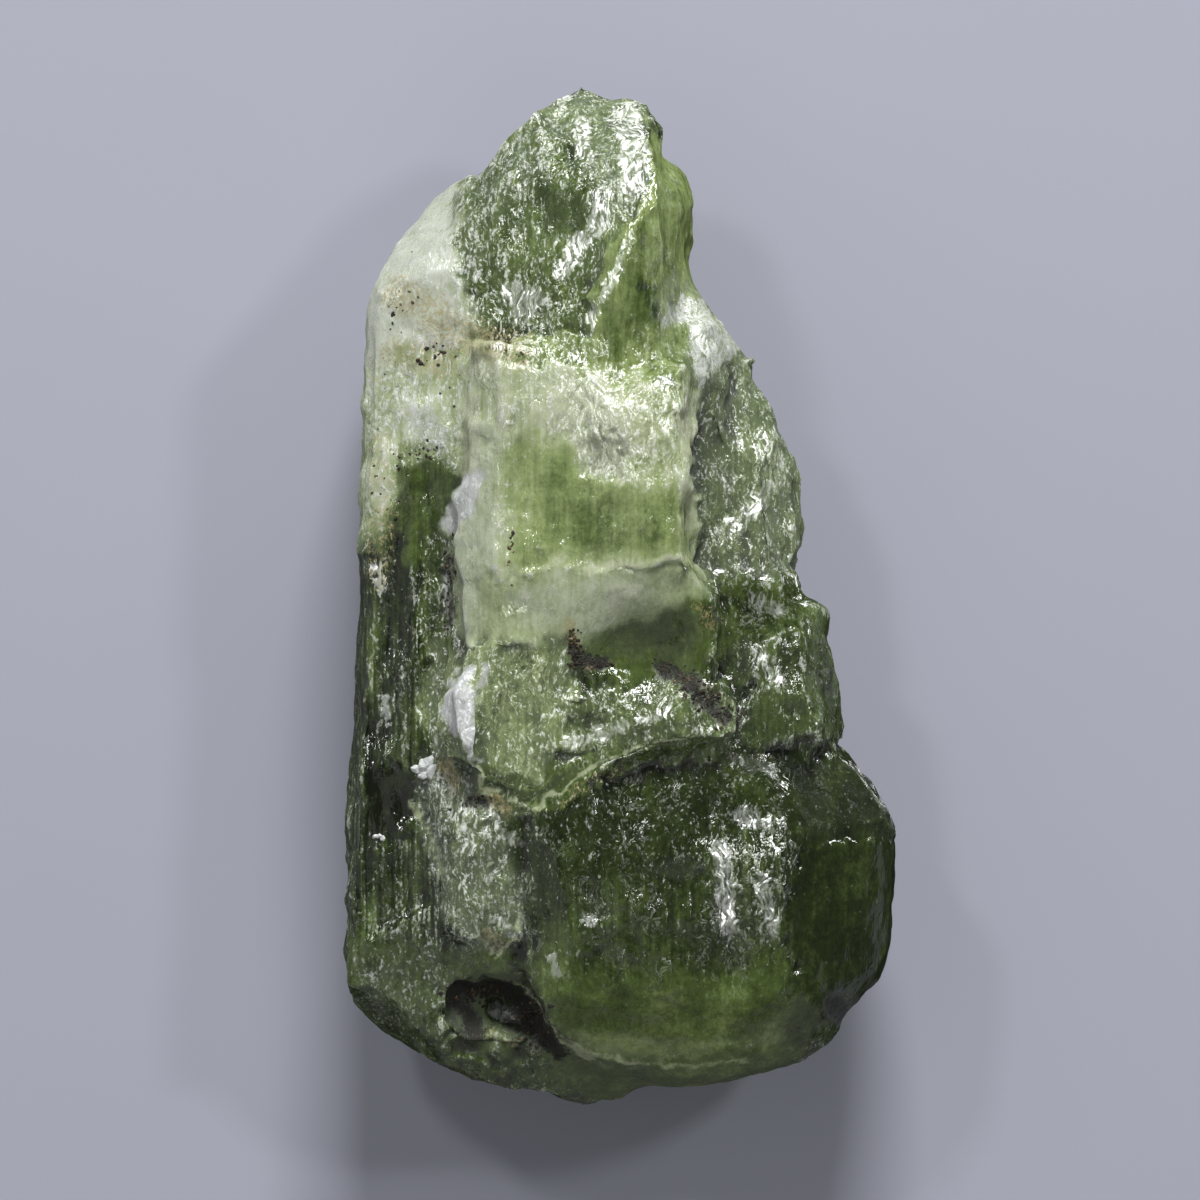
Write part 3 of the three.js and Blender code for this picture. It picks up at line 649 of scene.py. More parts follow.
TRACES = {
    # lines along narrow rims, painted paler as a painted glow
    Mark.THIN_EDGE: (
        Trace(((-6.1, -7.5), (-6.0, -8.5), (-5.2, -8.3), (-4.3, -8.8), (-3.4, -8.9), (-2.8, -8.3)), 0.1),
        Trace(((-2.8, -8.6), (-0.9, -7.2), (0.6, -6.6), (3.0, -6.1)), 0.07),
        Trace(((3.0, 5.4), (3.0, 4.2), (2.9, 3.0)), 0.3, 0.8),
        Trace(((3.2, 8.6), (3.0, 7.1), (3.3, 5.6), (2.9, 4.1)), 0.3, 0.85),
        Trace(((-1.5, 1.1), (0.9, 1.3), (2.8, 1.6)), 0.22, 0.7),
        Trace(((-7.0, 10.8), (-5.6, 11.0), (-4.2, 10.7)), 0.2),
        Trace(((-4.4, -16.7), (-3.7, -17.9), (-2.6, -19.1), (-1.2, -19.8), (0.6, -20.1)), 0.14, 0.8),
        Trace(((0.6, -20.1), (3.4, -20.2), (5.6, -19.9)), 0.12, 0.55),
        Trace(((-9.0, -8.8), (-8.2, -10.3), (-7.7, -12.2)), 0.13, 0.7),
        Trace(((-6.2, -14.6), (-5.3, -15.5), (-4.5, -14.8), (-4.2, -13.6)), 0.1, 0.8),
        Trace(((-6.6, 8.4), (-6.4, 6.6), (-6.8, 5.4)), 0.35, 0.7),
    ),
    # gleams: facets turned towards the key light, their colour also painted paler as a painted highlight
    Mark.GLEAM: (
        Trace(((0.3, 20.9), (0.6, 19.4), (0.7, 17.9)), 0.8, 0.74),
        Trace(((-1.6, 20.3), (-1.7, 19.2)), 0.45, 0.76),
        Trace(((-0.8, 17.2), (-1.0, 15.7)), 0.5, 0.72),
        Trace(((-1.7, 15.2), (-2.5, 13.9)), 0.45, 0.76),
        Trace(((0.5, 15.4), (-0.4, 13.5), (-1.3, 11.7)), 0.28, 0.76),
        Trace(((-4.8, 12.9), (-3.8, 12.7), (-4.3, 12.1)), 0.6, 0.8),
        Trace(((-2.6, 21.8), (-2.4, 21.0)), 0.3, 0.7),
        Trace(((1.9, 9.2), (2.5, 8.2), (2.2, 7.2)), 0.55, 0.68),
        Trace(((-0.4, 6.3), (1.4, 6.1)), 0.4, 0.6),
        Trace(((3.1, 12.4), (3.4, 11.4), (3.9, 10.6)), 0.45, 0.62),
        Trace(((4.4, 2.6), (5.6, 3.4), (6.6, 4.6)), 0.6, 0.62),
        Trace(((6.3, 6.7), (7.0, 5.9), (7.1, 5.0)), 0.5, 0.6),
        Trace(((6.0, -2.4), (6.6, -3.4)), 0.5, 0.6),
        Trace(((5.9, -0.2), (6.9, -0.8)), 0.4, 0.62),
        Trace(((-2.2, -6.3), (-1.0, -6.0), (0.2, -5.6)), 0.4, 0.74),
        Trace(((1.0, -5.2), (2.0, -5.0)), 0.35, 0.6),
        Trace(((3.3, -5.9), (4.2, -5.6)), 0.3, 0.6),
        Trace(((-7.8, -8.0), (-7.0, -9.0), (-6.6, -10.6)), 0.7, 0.56),
        Trace(((-6.4, -10.6), (-5.2, -9.9), (-4.4, -10.4)), 0.3, 0.56),
        Trace(((-7.0, -12.0), (-6.4, -13.0)), 0.4, 0.5),
        Trace(((-5.0, -14.0), (-4.6, -14.6)), 0.4, 0.76),
        Trace(((-5.0, -10.3), (-4.3, -10.5)), 0.3, 0.64),
        Trace(((4.3, -10.6), (4.5, -12.2), (4.6, -14.2)), 0.45, 0.7),
        Trace(((6.0, -12.0), (6.4, -13.4), (6.5, -14.4)), 0.4, 0.68),
        Trace(((5.2, -9.3), (6.2, -9.6)), 0.5, 0.62),
        Trace(((-3.0, -15.4), (-2.8, -16.1)), 0.25, 0.8),
        Trace(((-1.6, -13.6), (-1.2, -14.0)), 0.3, 0.62),
        Trace(((-5.5, -17.8), (-4.9, -18.1)), 0.18, 0.7),
        Trace(((-10.6, 1.2), (-10.3, 0.4)), 0.35, 0.62),
        Trace(((-10.0, -4.5), (-10.1, -5.3)), 0.3, 0.6),
        Trace(((-7.6, 0.6), (-7.3, -0.8), (-6.9, -2.4)), 0.3, 0.56),
        Trace(((-5.0, -0.7), (-4.2, -0.5)), 0.3, 0.6),
        Trace(((-0.7, 0.9), (0.5, 0.95)), 0.08),
    ),
    Mark.WHITE: (
        Trace(((-5.8, -3.0), (-5.9, -3.8)), 0.2, 0.7),
        Trace(((-8.5, 7.6), (-7.8, 6.9)), 0.7, 0.35),
        Trace(((-8.6, 10.9), (-7.2, 10.8)), 0.3, 0.5),
    ),
    Mark.STAIN: (
        Trace(((-9.6, 13.0), (-8.2, 12.2), (-7.2, 11.2), (-4.4, 10.4)), 0.9, 0.6),
        Trace(((-9.6, 10.4), (-7.6, 10.0)), 0.8, 0.5),
        Trace(((-10.4, 6.5), (-10.2, 3.5), (-10.5, 0.8)), 0.7, 0.36),
        Trace(((-7.7, -7.3), (-7.4, -8.1)), 0.35, 0.8),
        Trace(((-5.4, -8.7), (-4.8, -9.1)), 0.35, 0.8),
        Trace(((-2.6, -8.9), (-1.0, -7.8), (0.2, -7.4)), 0.2, 0.36),
        Trace(((3.5, -0.5), (4.0, -1.2)), 0.3, 0.5),
        Trace(((-2.2, -1.2), (-1.8, -2.4)), 0.35, 0.75),
        Trace(((-5.7, -14.6), (-5.2, -14.9)), 0.4, 0.6),
        Trace(((-6.2, -18.5), (-5.0, -18.9), (-4.6, -19.4)), 0.3, 0.4),
    ),
    Mark.DIRT: (
        Trace(((-2.1, -1.9), (-1.7, -2.7), (-0.7, -2.8)), 0.35, 0.8),
        Trace(((1.9, -3.2), (2.9, -3.6), (3.6, -4.4), (4.6, -5.2)), 0.45, 0.75),
        Trace(((-7.0, -17.0), (-5.6, -16.9), (-4.6, -17.2), (-3.7, -18.4), (-2.6, -19.7)), 0.45, 0.92),
        Trace(((-6.9, -17.4), (-6.4, -18.2), (-6.0, -18.5)), 0.4, 0.8),
        Trace(((-4.5, -18.9), (-4.2, -19.6)), 0.25, 0.6),
        Trace(((2.0, -7.1), (4.6, -6.9), (6.6, -7.3)), 0.35, 0.3),
        Trace(((-6.6, -8.6), (-5.8, -8.9)), 0.3, 0.75),
        Trace(((-7.3, 2.0), (-7.5, 0.4), (-7.4, -1.2)), 0.25, 0.6),
        Trace(((-9.0, 6.2), (-8.0, 6.2), (-7.2, 5.6)), 0.2, 0.5),
        Trace(((9.3, -17.6), (10.0, -18.4)), 0.5, 0.7),
    ),
}


@dataclass
class Surface:
    """The crystal's surface points with what is known at each of them."""

    points: np.ndarray
    normals: np.ndarray
    masks: dict[str, np.ndarray]


class Socket:
    """A shader socket whose sums and products add Math nodes to its graph."""

    def __init__(self, graph: "Graph", output: bpy.types.NodeSocket) -> None:
        """Wraps an output socket of a node in the graph."""
        self.graph = graph
        self.output = output

    def _with(self, operation: str, first: Any, second: Any) -> "Socket":
        """A Math node that works on two values, each a Socket or a number."""
        return self.graph.node("ShaderNodeMath", {"operation": operation}, {0: first, 1: second})[0]

    def __add__(self, other: Any) -> "Socket":
        """This plus other."""
        return self._with("ADD", self, other)

    def __radd__(self, other: Any) -> "Socket":
        """Other plus this."""
        return self._with("ADD", other, self)

    def __sub__(self, other: Any) -> "Socket":
        """This less other."""
        return self._with("SUBTRACT", self, other)

    def __rsub__(self, other: Any) -> "Socket":
        """Other less this."""
        return self._with("SUBTRACT", other, self)

    def __mul__(self, other: Any) -> "Socket":
        """This times other."""
        return self._with("MULTIPLY", self, other)

    def __rmul__(self, other: Any) -> "Socket":
        """Other times this."""
        return self._with("MULTIPLY", other, self)

    def at_most(self, other: Any) -> "Socket":
        """The lower of this and other."""
        return self._with("MINIMUM", self, other)

    def at_least(self, other: Any) -> "Socket":
        """The higher of this and other."""
        return self._with("MAXIMUM", self, other)

    def away_from(self, other: Any) -> "Socket":
        """How far this is from other, above or below."""
        return self._with("ABSOLUTE", self - other, 0.0)

    def share(self) -> "Socket":
        """This, kept between 0 and 1."""
        return self.at_least(0.0).at_most(1.0)

    def between(self, low: float, high: float) -> "Socket":
        """Rises from 0 to 1 as this goes from low to high, with soft ends."""
        settings = {"interpolation_type": "SMOOTHSTEP"}
        inputs = {"Value": self, "From Min": low, "From Max": high}
        return self.graph.node("ShaderNodeMapRange", settings, inputs)[0]


class Graph:
    """The node graph of one material."""

    def __init__(self, name: str) -> None:
        """Starts a material with an empty graph.

        Args:
            name: the material's name.
        """
        self.material = bpy.data.materials.new(name)
        self.material.use_nodes = True
        self.tree = self.material.node_tree
        self.tree.nodes.clear()

    def node(self, kind: str, settings: dict[str, Any], inputs: dict[Any, Any]) -> list[Socket]:
        """Adds a node.

        Args:
            kind: the node's type.
            settings: what is set on the node first; stops are a colour ramp's places and colours.
            inputs: a value, a Socket or an output for each named or numbered input.

        Returns:
            The node's outputs that are in use, in order.
        """
        made = self.tree.nodes.new(kind)
        for name, value in settings.items():
            if name == "stops":
                self._set_stops(made.color_ramp, value)
            else:
                setattr(made, name, value)
        for name, value in inputs.items():
            if isinstance(value, Socket):
                self.tree.links.new(value.output, made.inputs[name])
            else:
                made.inputs[name].default_value = value
        return [Socket(self, out) for out in made.outputs if out.enabled]

    @staticmethod
    def _set_stops(ramp: bpy.types.ColorRamp, stops: Sequence[tuple[float, Colour]]) -> None:
        """Gives a ramp its stops."""
        while len(ramp.elements) < len(stops):
            ramp.elements.new(0.5)
        for element, (place, colour) in zip(ramp.elements, stops):
            element.position = place
            element.color = colour

    def attribute(self, name: str) -> Socket:
        """The number that a mesh attribute holds."""
        return self.node("ShaderNodeAttribute", {"attribute_name": name}, {})[2]

    def vector_attribute(self, name: str) -> Socket:
        """The vector that a mesh attribute holds."""
        return self.node("ShaderNodeAttribute", {"attribute_name": name}, {})[1]

    def place(self) -> Socket:
        """Object coordinates in millimetres."""
        coordinates = self.node("ShaderNodeTexCoord", {}, {})[3]
        return self.vector("SCALE", {0: coordinates, "Scale": 1.0 / MM})

    def noise(self, place: Socket, turns: Triple, detail: float, roughness: float = 0.6) -> Socket:
        """Noise from 0 to 1.

        Args:
            place: the place in millimetres.
            turns: how many turns of noise there are to a millimetre along each axis.
            detail: the number of finer layers.
            roughness: how strong each finer layer is.

        Returns:
            The noise.
        """
        scaled = self.vector("MULTIPLY", {0: place, 1: turns})
        inputs = {"Vector": scaled, "Scale": 1.0, "Detail": detail, "Roughness": roughness}
        return self.node("ShaderNodeTexNoise", {}, inputs)[0]

    def cells(self, place: Socket, turns: Triple) -> Socket:
        """A random colour for each cell."""
        scaled = self.vector("MULTIPLY", {0: place, 1: turns})
        return self.node("ShaderNodeTexVoronoi", {}, {"Vector": scaled, "Scale": 1.0})[1]

    def ragged(self, mask: Socket, pattern: Socket, soft: float, spread: float = 1.4) -> Socket:
        """A mask with its edge broken up by a pattern, and as soft as given."""
        return (mask + (pattern - 0.5) * spread).between(0.5 - soft, 0.5 + soft)

    def mix(self, share: Any, start: Any, end: Any) -> Socket:
        """A colour that goes from start to end by a share."""
        settings = {"data_type": "RGBA", "blend_type": "MIX", "clamp_factor": True}
        return self.node("ShaderNodeMix", settings, {0: share, 6: start, 7: end})[0]

    def vector(self, operation: str, inputs: dict[Any, Any]) -> Socket:
        """A Vector Math node's first output."""
        return self.node("ShaderNodeVectorMath", {"operation": operation}, inputs)[0]

    def bump(self, height: Socket, strength: float, depth: float) -> Socket:
        """The normal that a height gives, with its depth in millimetres."""
        inputs = {"Strength": strength, "Distance": depth * MM, "Height": height}
        return self.node("ShaderNodeBump", {}, inputs)[0]

    def finish(self, surface: dict[str, Any], volume: Socket | None = None) -> bpy.types.Material:
        """Closes the graph with one Principled shader.

        Args:
            surface: the values and Sockets of the Principled shader's inputs.
            volume: the shader of what is inside, if light goes through.

        Returns:
            The material.
        """
        inputs = {"Surface": self.node("ShaderNodeBsdfPrincipled", {}, surface)[0]}
        if volume is not None:
            inputs["Volume"] = volume
        self.node("ShaderNodeOutputMaterial", {}, inputs)
        return self.material


@dataclass(frozen=True)
class Patterns:
    """The fine patterns that the crystal's colour and shading share."""

    fibres: Socket
    grain: Socket
    flecks: Socket
    streaks: Socket
    crinkles: Socket
    lean: Socket
    glitter: Socket
    gleaming: Socket


@dataclass(frozen=True)
class PeridotFinish:
    """Green gem crystal: glassy where clear, frosted where milky, stained and dirty in places.

    The turns are how many there are to a millimetre along each axis. greens go from the darkest clear green
    to the palest, by the tone. Frosting starts where flecks and milk together pass frost_from, and grows at
    frost_rise times what they pass it by.
    """

    greens: tuple[tuple[float, Colour], ...] = (
        (0.0, (0.008, 0.012, 0.003, 1.0)),
        (0.22, (0.035, 0.055, 0.012, 1.0)),
        (0.5, (0.14, 0.205, 0.05, 1.0)),
        (0.78, (0.44, 0.56, 0.2, 1.0)),
        (1.0, (0.78, 0.86, 0.52, 1.0)),
    )
    # pale frosting, and also the colour of the painted glints
    frost: Colour = (0.86, 0.9, 0.84, 1.0)
    white: Colour = (0.93, 0.95, 0.97, 1.0)
    # the colour of the painted glow on narrow rims
    thin: Colour = (0.82, 0.9, 0.58, 1.0)
    stain: Colour = (0.58, 0.5, 0.23, 1.0)
    dirt: Colour = (0.013, 0.01, 0.007, 1.0)
    tint: Colour = (0.6, 0.78, 0.22, 1.0)
    tint_density: float = 100.0
    ior: float = 1.67
    clearness: float = 0.4
    glossy: float = 0.12
    frosted: float = 0.42
    polished: float = 0.05
    frost_from: float = 0.79
    frost_rise: float = 5.2
    gleam_way: Triple = (0.03, 0.47, 0.88)
    gleam_push: float = 3.6
    bump_strength: float = 0.9
    bump_depth: float = 0.09
    wide_facets: Triple = (1.8, 1.1, 1.8)
    narrow_facets: Triple = (5.4, 3.4, 5.4)
    wide_share: float = 0.45
    middle_lean: float = 0.73
    streak_turns: Triple = (5.2, 1.2, 5.2)
    fleck_turns: Triple = (7.4, 5.0, 7.4)
    fibre_turns: Triple = (4.4, 0.17, 4.4)
    grain_turns: Triple = (2.8, 2.2, 2.8)
    crinkle_turns: Triple = (6.6, 4.2, 6.6)

    def _patterns(self, graph: Graph) -> Patterns:
        """Makes the fine patterns.

        Args:
            graph: the material's graph.

        Returns:
            The patterns, as Sockets of the graph.
        """
        place = graph.place()
        warped = graph.vector_attribute(WARPED)
        wide = graph.cells(warped, self.wide_facets)
        narrow = graph.cells(warped, self.narrow_facets)
        both = graph.vector("MULTIPLY_ADD", {0: wide, 1: (self.wide_share,) * 3, 2: narrow})
        streaks = graph.noise(warped, self.streak_turns, 1.0, 0.7)
        flecks = graph.noise(place, self.fleck_turns, 2.0, 0.8)
        return Patterns(
            fibres=graph.noise(place, self.fibre_turns, 1.0, 0.85),
            grain=graph.noise(place, self.grain_turns, 3.0, 0.75),
            flecks=flecks,
            streaks=streaks,
            crinkles=graph.noise(warped, self.crinkle_turns, 1.0).away_from(0.5),
            lean=graph.vector("SUBTRACT", {0: both, 1: (self.middle_lean,) * 3}),
            glitter=graph.attribute("sparkle"),
            gleaming=graph.ragged(graph.attribute("gleam"), (streaks + flecks) * 0.5, 0.26, 1.7),
        )

    def _colour(self, graph: Graph, patterns: Patterns, frosting: Socket) -> Socket:
        """The colour, from the crystal's masks and fine patterns.

        Args:
            graph: the material's graph.
            patterns: the fine patterns.
            frosting: how frosted each place is, from 0 to 1.

        Returns:
            The base colour.
        """
        thin_edge = graph.attribute("thin_edge")
        tone = graph.attribute("tone") + (patterns.fibres - 0.5) * graph.attribute("threads")
        tone = tone + (patterns.grain - 0.5) * 0.4 + (patterns.flecks - 0.5) * 0.25
        # painted light: narrow rims are painted lighter as a glow, and sparkly places lighter along the
        # crinkles as painted glitter
        tone = tone + patterns.glitter * (patterns.crinkles * 1.4 - 0.1) + thin_edge * 0.2
        green = graph.node("ShaderNodeValToRGB", {"stops": self.greens}, {"Fac": tone})[0]
        # painted glints: sparkly facets that lean towards the key light, and gleaming places along their
        # streaks, are painted pale
        waves = patterns.crinkles.between(0.01, 0.12)
        facing_light = graph.node("ShaderNodeSeparateXYZ", {}, {0: patterns.lean})[1].between(0.1, 0.45)
        glints = patterns.glitter * facing_light * waves * 0.5
        glints = glints.at_least(patterns.gleaming * patterns.streaks * 0.6)
        colour = graph.mix(frosting.at_least(glints), green, self.frost)
        # narrow rims painted paler, a painted glow of light shining through them
        colour = graph.mix(graph.ragged(thin_edge * 0.8, patterns.grain, 0.3) * 0.75, colour, self.thin)
        sugar = (patterns.grain - 0.5) * 0.5 + (patterns.flecks - 0.5) * 0.7
        white = (graph.attribute("white") * 1.1 + sugar).share()
        colour = graph.mix(white * graph.attribute("white").between(0.0, 0.3) * 0.9, colour, self.white)
        stain = graph.attribute("stain")
        stained = graph.ragged(stain * 0.9, patterns.flecks, 0.2, 3.0) * stain.between(0.02, 0.3)
        colour = graph.mix(stained * 0.7, colour, self.stain)
        dirty = graph.ragged(graph.attribute("dirt") * 0.85, patterns.flecks, 0.08)
        return graph.mix(dirty * 0.93, colour, self.dirt)

    def _normal(self, graph: Graph, patterns: Patterns) -> Socket:
        """The shading normal: fine streaks and crinkles, with small facets that catch the light.

        Args:
            graph: the material's graph.
            patterns: the fine patterns.

        Returns:
            The normal.
        """
        glitter, gleaming = patterns.glitter, patterns.gleaming
        crinkled = 0.15 + glitter * 0.6 + graph.attribute("dirt")
        height = patterns.crinkles * crinkled + patterns.streaks * (0.25 + gleaming * 0.6)
        height = height + patterns.fibres * graph.attribute("threads")
        rough = graph.bump(height, self.bump_strength, self.bump_depth)
        turned = graph.vector("SCALE", {0: patterns.lean, "Scale": glitter * 0.7 + gleaming * 0.5 + 0.06})
        own = graph.vector("NORMALIZE", {0: graph.vector("ADD", {0: rough, 1: turned})})
        push = gleaming * (patterns.streaks.between(0.36, 0.58) * self.gleam_push + 0.3)
        up = graph.vector("SCALE", {0: self.gleam_way, "Scale": push})
        pushed = graph.vector("ADD", {0: own, 1: up})
        pushed = graph.vector("ADD", {0: pushed, 1: graph.vector_attribute(LIFT)})
        return graph.vector("NORMALIZE", {0: pushed})

    def material(self) -> bpy.types.Material:
        """Builds the material."""
        graph = Graph("peridot")
        patterns = self._patterns(graph)
        milk = graph.attribute("milk")
        fibres = (patterns.fibres - 0.5) * graph.attribute("threads")
        flecks = patterns.flecks + (patterns.streaks - 0.5) * 0.8 + fibres
        frosting = ((flecks + milk * 0.62 - self.frost_from) * self.frost_rise).share() * (milk * 0.6 + 0.3)
        frosting = frosting.at_least(graph.attribute("haze") * (patterns.grain * 0.6 + 0.7))
        dull = frosting.at_least(graph.attribute("stain")).at_least(graph.attribute("dirt"))
        roughness = self.glossy + dull * (self.frosted - self.glossy) + (patterns.grain - 0.5) * 0.14
        roughness = (roughness + patterns.gleaming * 0.08).at_least(self.polished)
        roughness = roughness.at_least(graph.attribute("dirt")).at_least(graph.attribute("white") * 0.4)
        surface = {
            "Base Color": self._colour(graph, patterns, frosting),
            "Roughness": roughness.at_least(graph.attribute("matt")),
            "IOR": self.ior,
            "Transmission Weight": self.clearness,
            "Normal": self._normal(graph, patterns),
        }
        tint = {"Color": self.tint, "Density": self.tint_density}
        return graph.finish(surface, graph.node("ShaderNodeVolumeAbsorption", {}, tint)[0])


@dataclass(frozen=True)
class CrumbFinish:
    """Dull brown-black grains of matrix and rust."""

    dark: Colour = (0.02, 0.014, 0.008, 1.0)
    rust: Colour = (0.1, 0.065, 0.03, 1.0)
    tan: Colour = (0.3, 0.23, 0.13, 1.0)

    def material(self) -> bpy.types.Material:
        """Builds the material."""
        graph = Graph("crumbs")
        patches = graph.noise(graph.place(), (1.4, 1.4, 1.4), 4.0)
        fine = graph.noise(graph.place(), (7.0, 7.0, 7.0), 2.0)
        colour = graph.mix(patches.between(0.5, 0.62), self.dark, self.rust)
        colour = graph.mix(patches.between(0.6, 0.7), colour, self.tan)
        bump = graph.bump(fine, 0.5, 0.05)
        return graph.finish({"Base Color": colour, "Roughness": 0.4 + fine * 0.4, "Normal": bump})


@dataclass(frozen=True)
class WhiteGrainFinish:
    """A sugary white grain of another mineral."""

    white: Colour = (0.8, 0.82, 0.82, 1.0)
    grey: Colour = (0.55, 0.58, 0.55, 1.0)

    def material(self) -> bpy.types.Material:
        """Builds the material."""
        graph = Graph("white_grain")
        sugar = graph.noise(graph.place(), (3.5, 3.5, 3.5), 3.0, 0.7)
        colour = graph.mix(sugar.between(0.35, 0.65), self.grey, self.white)
        bump = graph.bump(sugar, 0.6, 0.06)
        return graph.finish({"Base Color": colour, "Roughness": 0.3 + sugar * 0.3, "Normal": bump})


@dataclass(frozen=True)
class FloorFinish:
    """A matt, pale, faintly lavender paper sweep."""

    light: Colour = (0.43, 0.44, 0.52, 1.0)
    dark: Colour = (0.41, 0.42, 0.5, 1.0)
    matt: float = 0.9

    def material(self) -> bpy.types.Material:
        """Builds the material."""
        graph = Graph("floor")
        mottle = graph.noise(graph.place(), (0.05, 0.05, 0.05), 2.0)
        return graph.finish({"Base Color": graph.mix(mottle, self.dark, self.light), "Roughness": self.matt})


def deselect_all() -> None:
    """Leaves edit mode and deselects every object."""
    if bpy.context.object is not None and bpy.context.object.mode != "OBJECT":
        bpy.ops.object.mode_set(mode="OBJECT")
    bpy.ops.object.select_all(action="DESELECT")


def choose(piece: bpy.types.Object) -> None:
    """Selects one object alone and makes it active."""
    deselect_all()
    piece.select_set(True)
    bpy.context.view_layer.objects.active = piece


@dataclass
class Crystal:
    """The crystal's visible surface, made from a copy of the packed solid's mesh.

    Sizes are in millimetres. The zones take over between the heights front_from and front_to, and their
    outlines wander less from side_from up to side_to. Each row of chips is a facet's size, its depth as a
    share of the size, and a shift of the pattern. Each row of the painted edge highlight and hollow shade is
    a number of smoothing rounds, how far it paints sharp edges lighter as a painted highlight and how far it
    paints hollows darker as painted shade.
    """

    voxel: float = 0.186
    merge: float = 0.002
    wobble: float = 0.08
    inset: float = 0.06
    zone_waver: float = 0.42
    trace_waver: float = 0.14
    front_from: float = 1.0
    front_to: float = 4.0
    side_from: float = 3.0
    side_to: float = 7.0
    wander: float = 2.4
    crisp: float = 0.6
    melt_rounds: int = 40
    warp: float = 0.3
    lift: float = 1.0
    grain: float = 0.02
    dirt_depth: float = 0.1
    groove_turns: Triple = (0.95, 0.05, 0.95)
    fine_groove_turns: Triple = (2.6, 0.16, 2.6)
    chip_squash: Triple = (1.0, 0.66, 1.0)
    chip_tilt: float = 1.1
    chip_dome: float = 0.55
    tread_turns: Triple = (0.3, 0.24, 0.3)
    treads: float = 2.2
    tread_edge: float = 0.12
    clump_turns: Triple = (0.95, 0.42, 0.95)
    chips: tuple[Triple, ...] = ((2.6, 0.3, 3.0), (1.1, 0.32, 9.0), (0.55, 0.3, 33.0))
    # rows of painted highlight on sharp edges and painted shade in hollows
    wear: tuple[tuple[int, float, float], ...] = ((2, 0.22, 0.1), (12, 0.16, 0.14))
    seed: int = 7
    finish: PeridotFinish = PeridotFinish()

    def _copy(self) -> bpy.types.Object:
        """A merged, evenly remeshed copy of the packed solid."""
        choose(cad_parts[NODE])
        bpy.ops.object.duplicate()
        piece = bpy.context.object
        piece.name = "crystal_surface"
        piece.parent = None
        choose(piece)
        piece.data.materials.clear()
        bpy.ops.object.mode_set(mode="EDIT")
        bpy.ops.mesh.select_all(action="SELECT")
        bpy.ops.mesh.remove_doubles(threshold=self.merge * MM)
        bpy.ops.object.mode_set(mode="OBJECT")
        remesh = piece.modifiers.new("even", "REMESH")
        remesh.mode = "VOXEL"
        remesh.voxel_size = self.voxel * MM
        bpy.ops.object.modifier_apply(modifier=remesh.name)
        return piece

    @staticmethod
    def _read(mesh: bpy.types.Mesh, field_name: str) -> np.ndarray:
        """A three-number field of every vertex."""
        values = np.empty(len(mesh.vertices) * 3)
        mesh.vertices.foreach_get(field_name, values)
        return values.reshape(-1, 3)

    @staticmethod
    def _neighbour_mean(mesh: bpy.types.Mesh, values: np.ndarray, rounds: int) -> np.ndarray:
        """The values, averaged over each point's neighbours.

        Args:
            mesh: the mesh, for its edges.
            values: a row of numbers for each point of the mesh.
            rounds: how many times the values are averaged.

        Returns:
            The averaged values.
        """
        edges = np.empty(len(mesh.edges) * 2, int)
        mesh.edges.foreach_get("vertices", edges)
        start, end = edges.reshape(-1, 2).T
        count = np.bincount(edges, minlength=len(values)).astype(float)
        for _ in range(rounds):
            sums = [
                np.bincount(start, column[end], len(count)) + np.bincount(end, column[start], len(count))
                for column in values.T
            ]
            values = np.stack(sums, axis=1) / count[:, None]
        return values

    def _masks(self, p: np.ndarray, noise: Noise) -> dict[str, np.ndarray]:
        """What grew and settled where.

        Args:
            p: the surface points in millimetres.
            noise: the crystal's noise.

        Returns:
            A value at every point for each field of Growth, and for each kind of Mark.
        """
        patch = noise.layered(p * 0.16, 3)
        masks = {name: np.full(len(p), value, float) for name, value in vars(PLAIN).items()}
        masks["tone"] += 0.14 * patch
        masks["milk"] += 0.22 * smooth(0.2, 0.7, patch)
        masks["scoops"] += 0.25 * smooth(-0.1, 0.5, noise.gradient(p * 0.3 + 40.0))
        masks["sparkle"] += 0.3 * smooth(-0.2, 0.5, noise.gradient(p * 0.35 + 80.0))
        x, y = (p[:, :2] + self.zone_waver * noise.columns(p * 0.9, 3, (0.0, 31.0))).T
        wander = noise.layered(p * 0.25 + 320.0, 3)
        y = y + self.wander * wander * (1.0 - smooth(self.side_from, self.side_to, p[:, 2]))
        front = smooth(self.front_from, self.front_to, p[:, 2] + self.wander * wander)
        for zone in ZONES:
            soft = self.crisp * zone.soft
            share = front * smooth(-soft, soft, depth_inside(zone.outline, x, y))
            for name, value in vars(zone.growth).items():
                masks[name] = blend(masks[name], value, share)
        masks["tone"] += 0.12 * noise.layered(p * (0.8, 0.3, 0.8) + 260.0, 3)
        clumps = smooth(-0.15, 0.3, noise.layered(p * self.clump_turns + 290.0, 2))
        masks["sparkle"] *= 0.15 + 0.85 * clumps
        x, y = (p[:, :2] + self.trace_waver * noise.columns(p * 2.2, 2, (210.0, 241.0))).T
        for mark in Mark:
            total = np.zeros(len(p))
            for trace in TRACES[mark]:
                near = 1.0 - smooth(0.4 * trace.reach, 1.5 * trace.reach, distance_to_line(trace.line, x, y))
                total = np.maximum(total, trace.strength * near * front)
            masks[mark.name.lower()] = np.maximum(total, masks.get(mark.name.lower(), 0.0))
        return masks

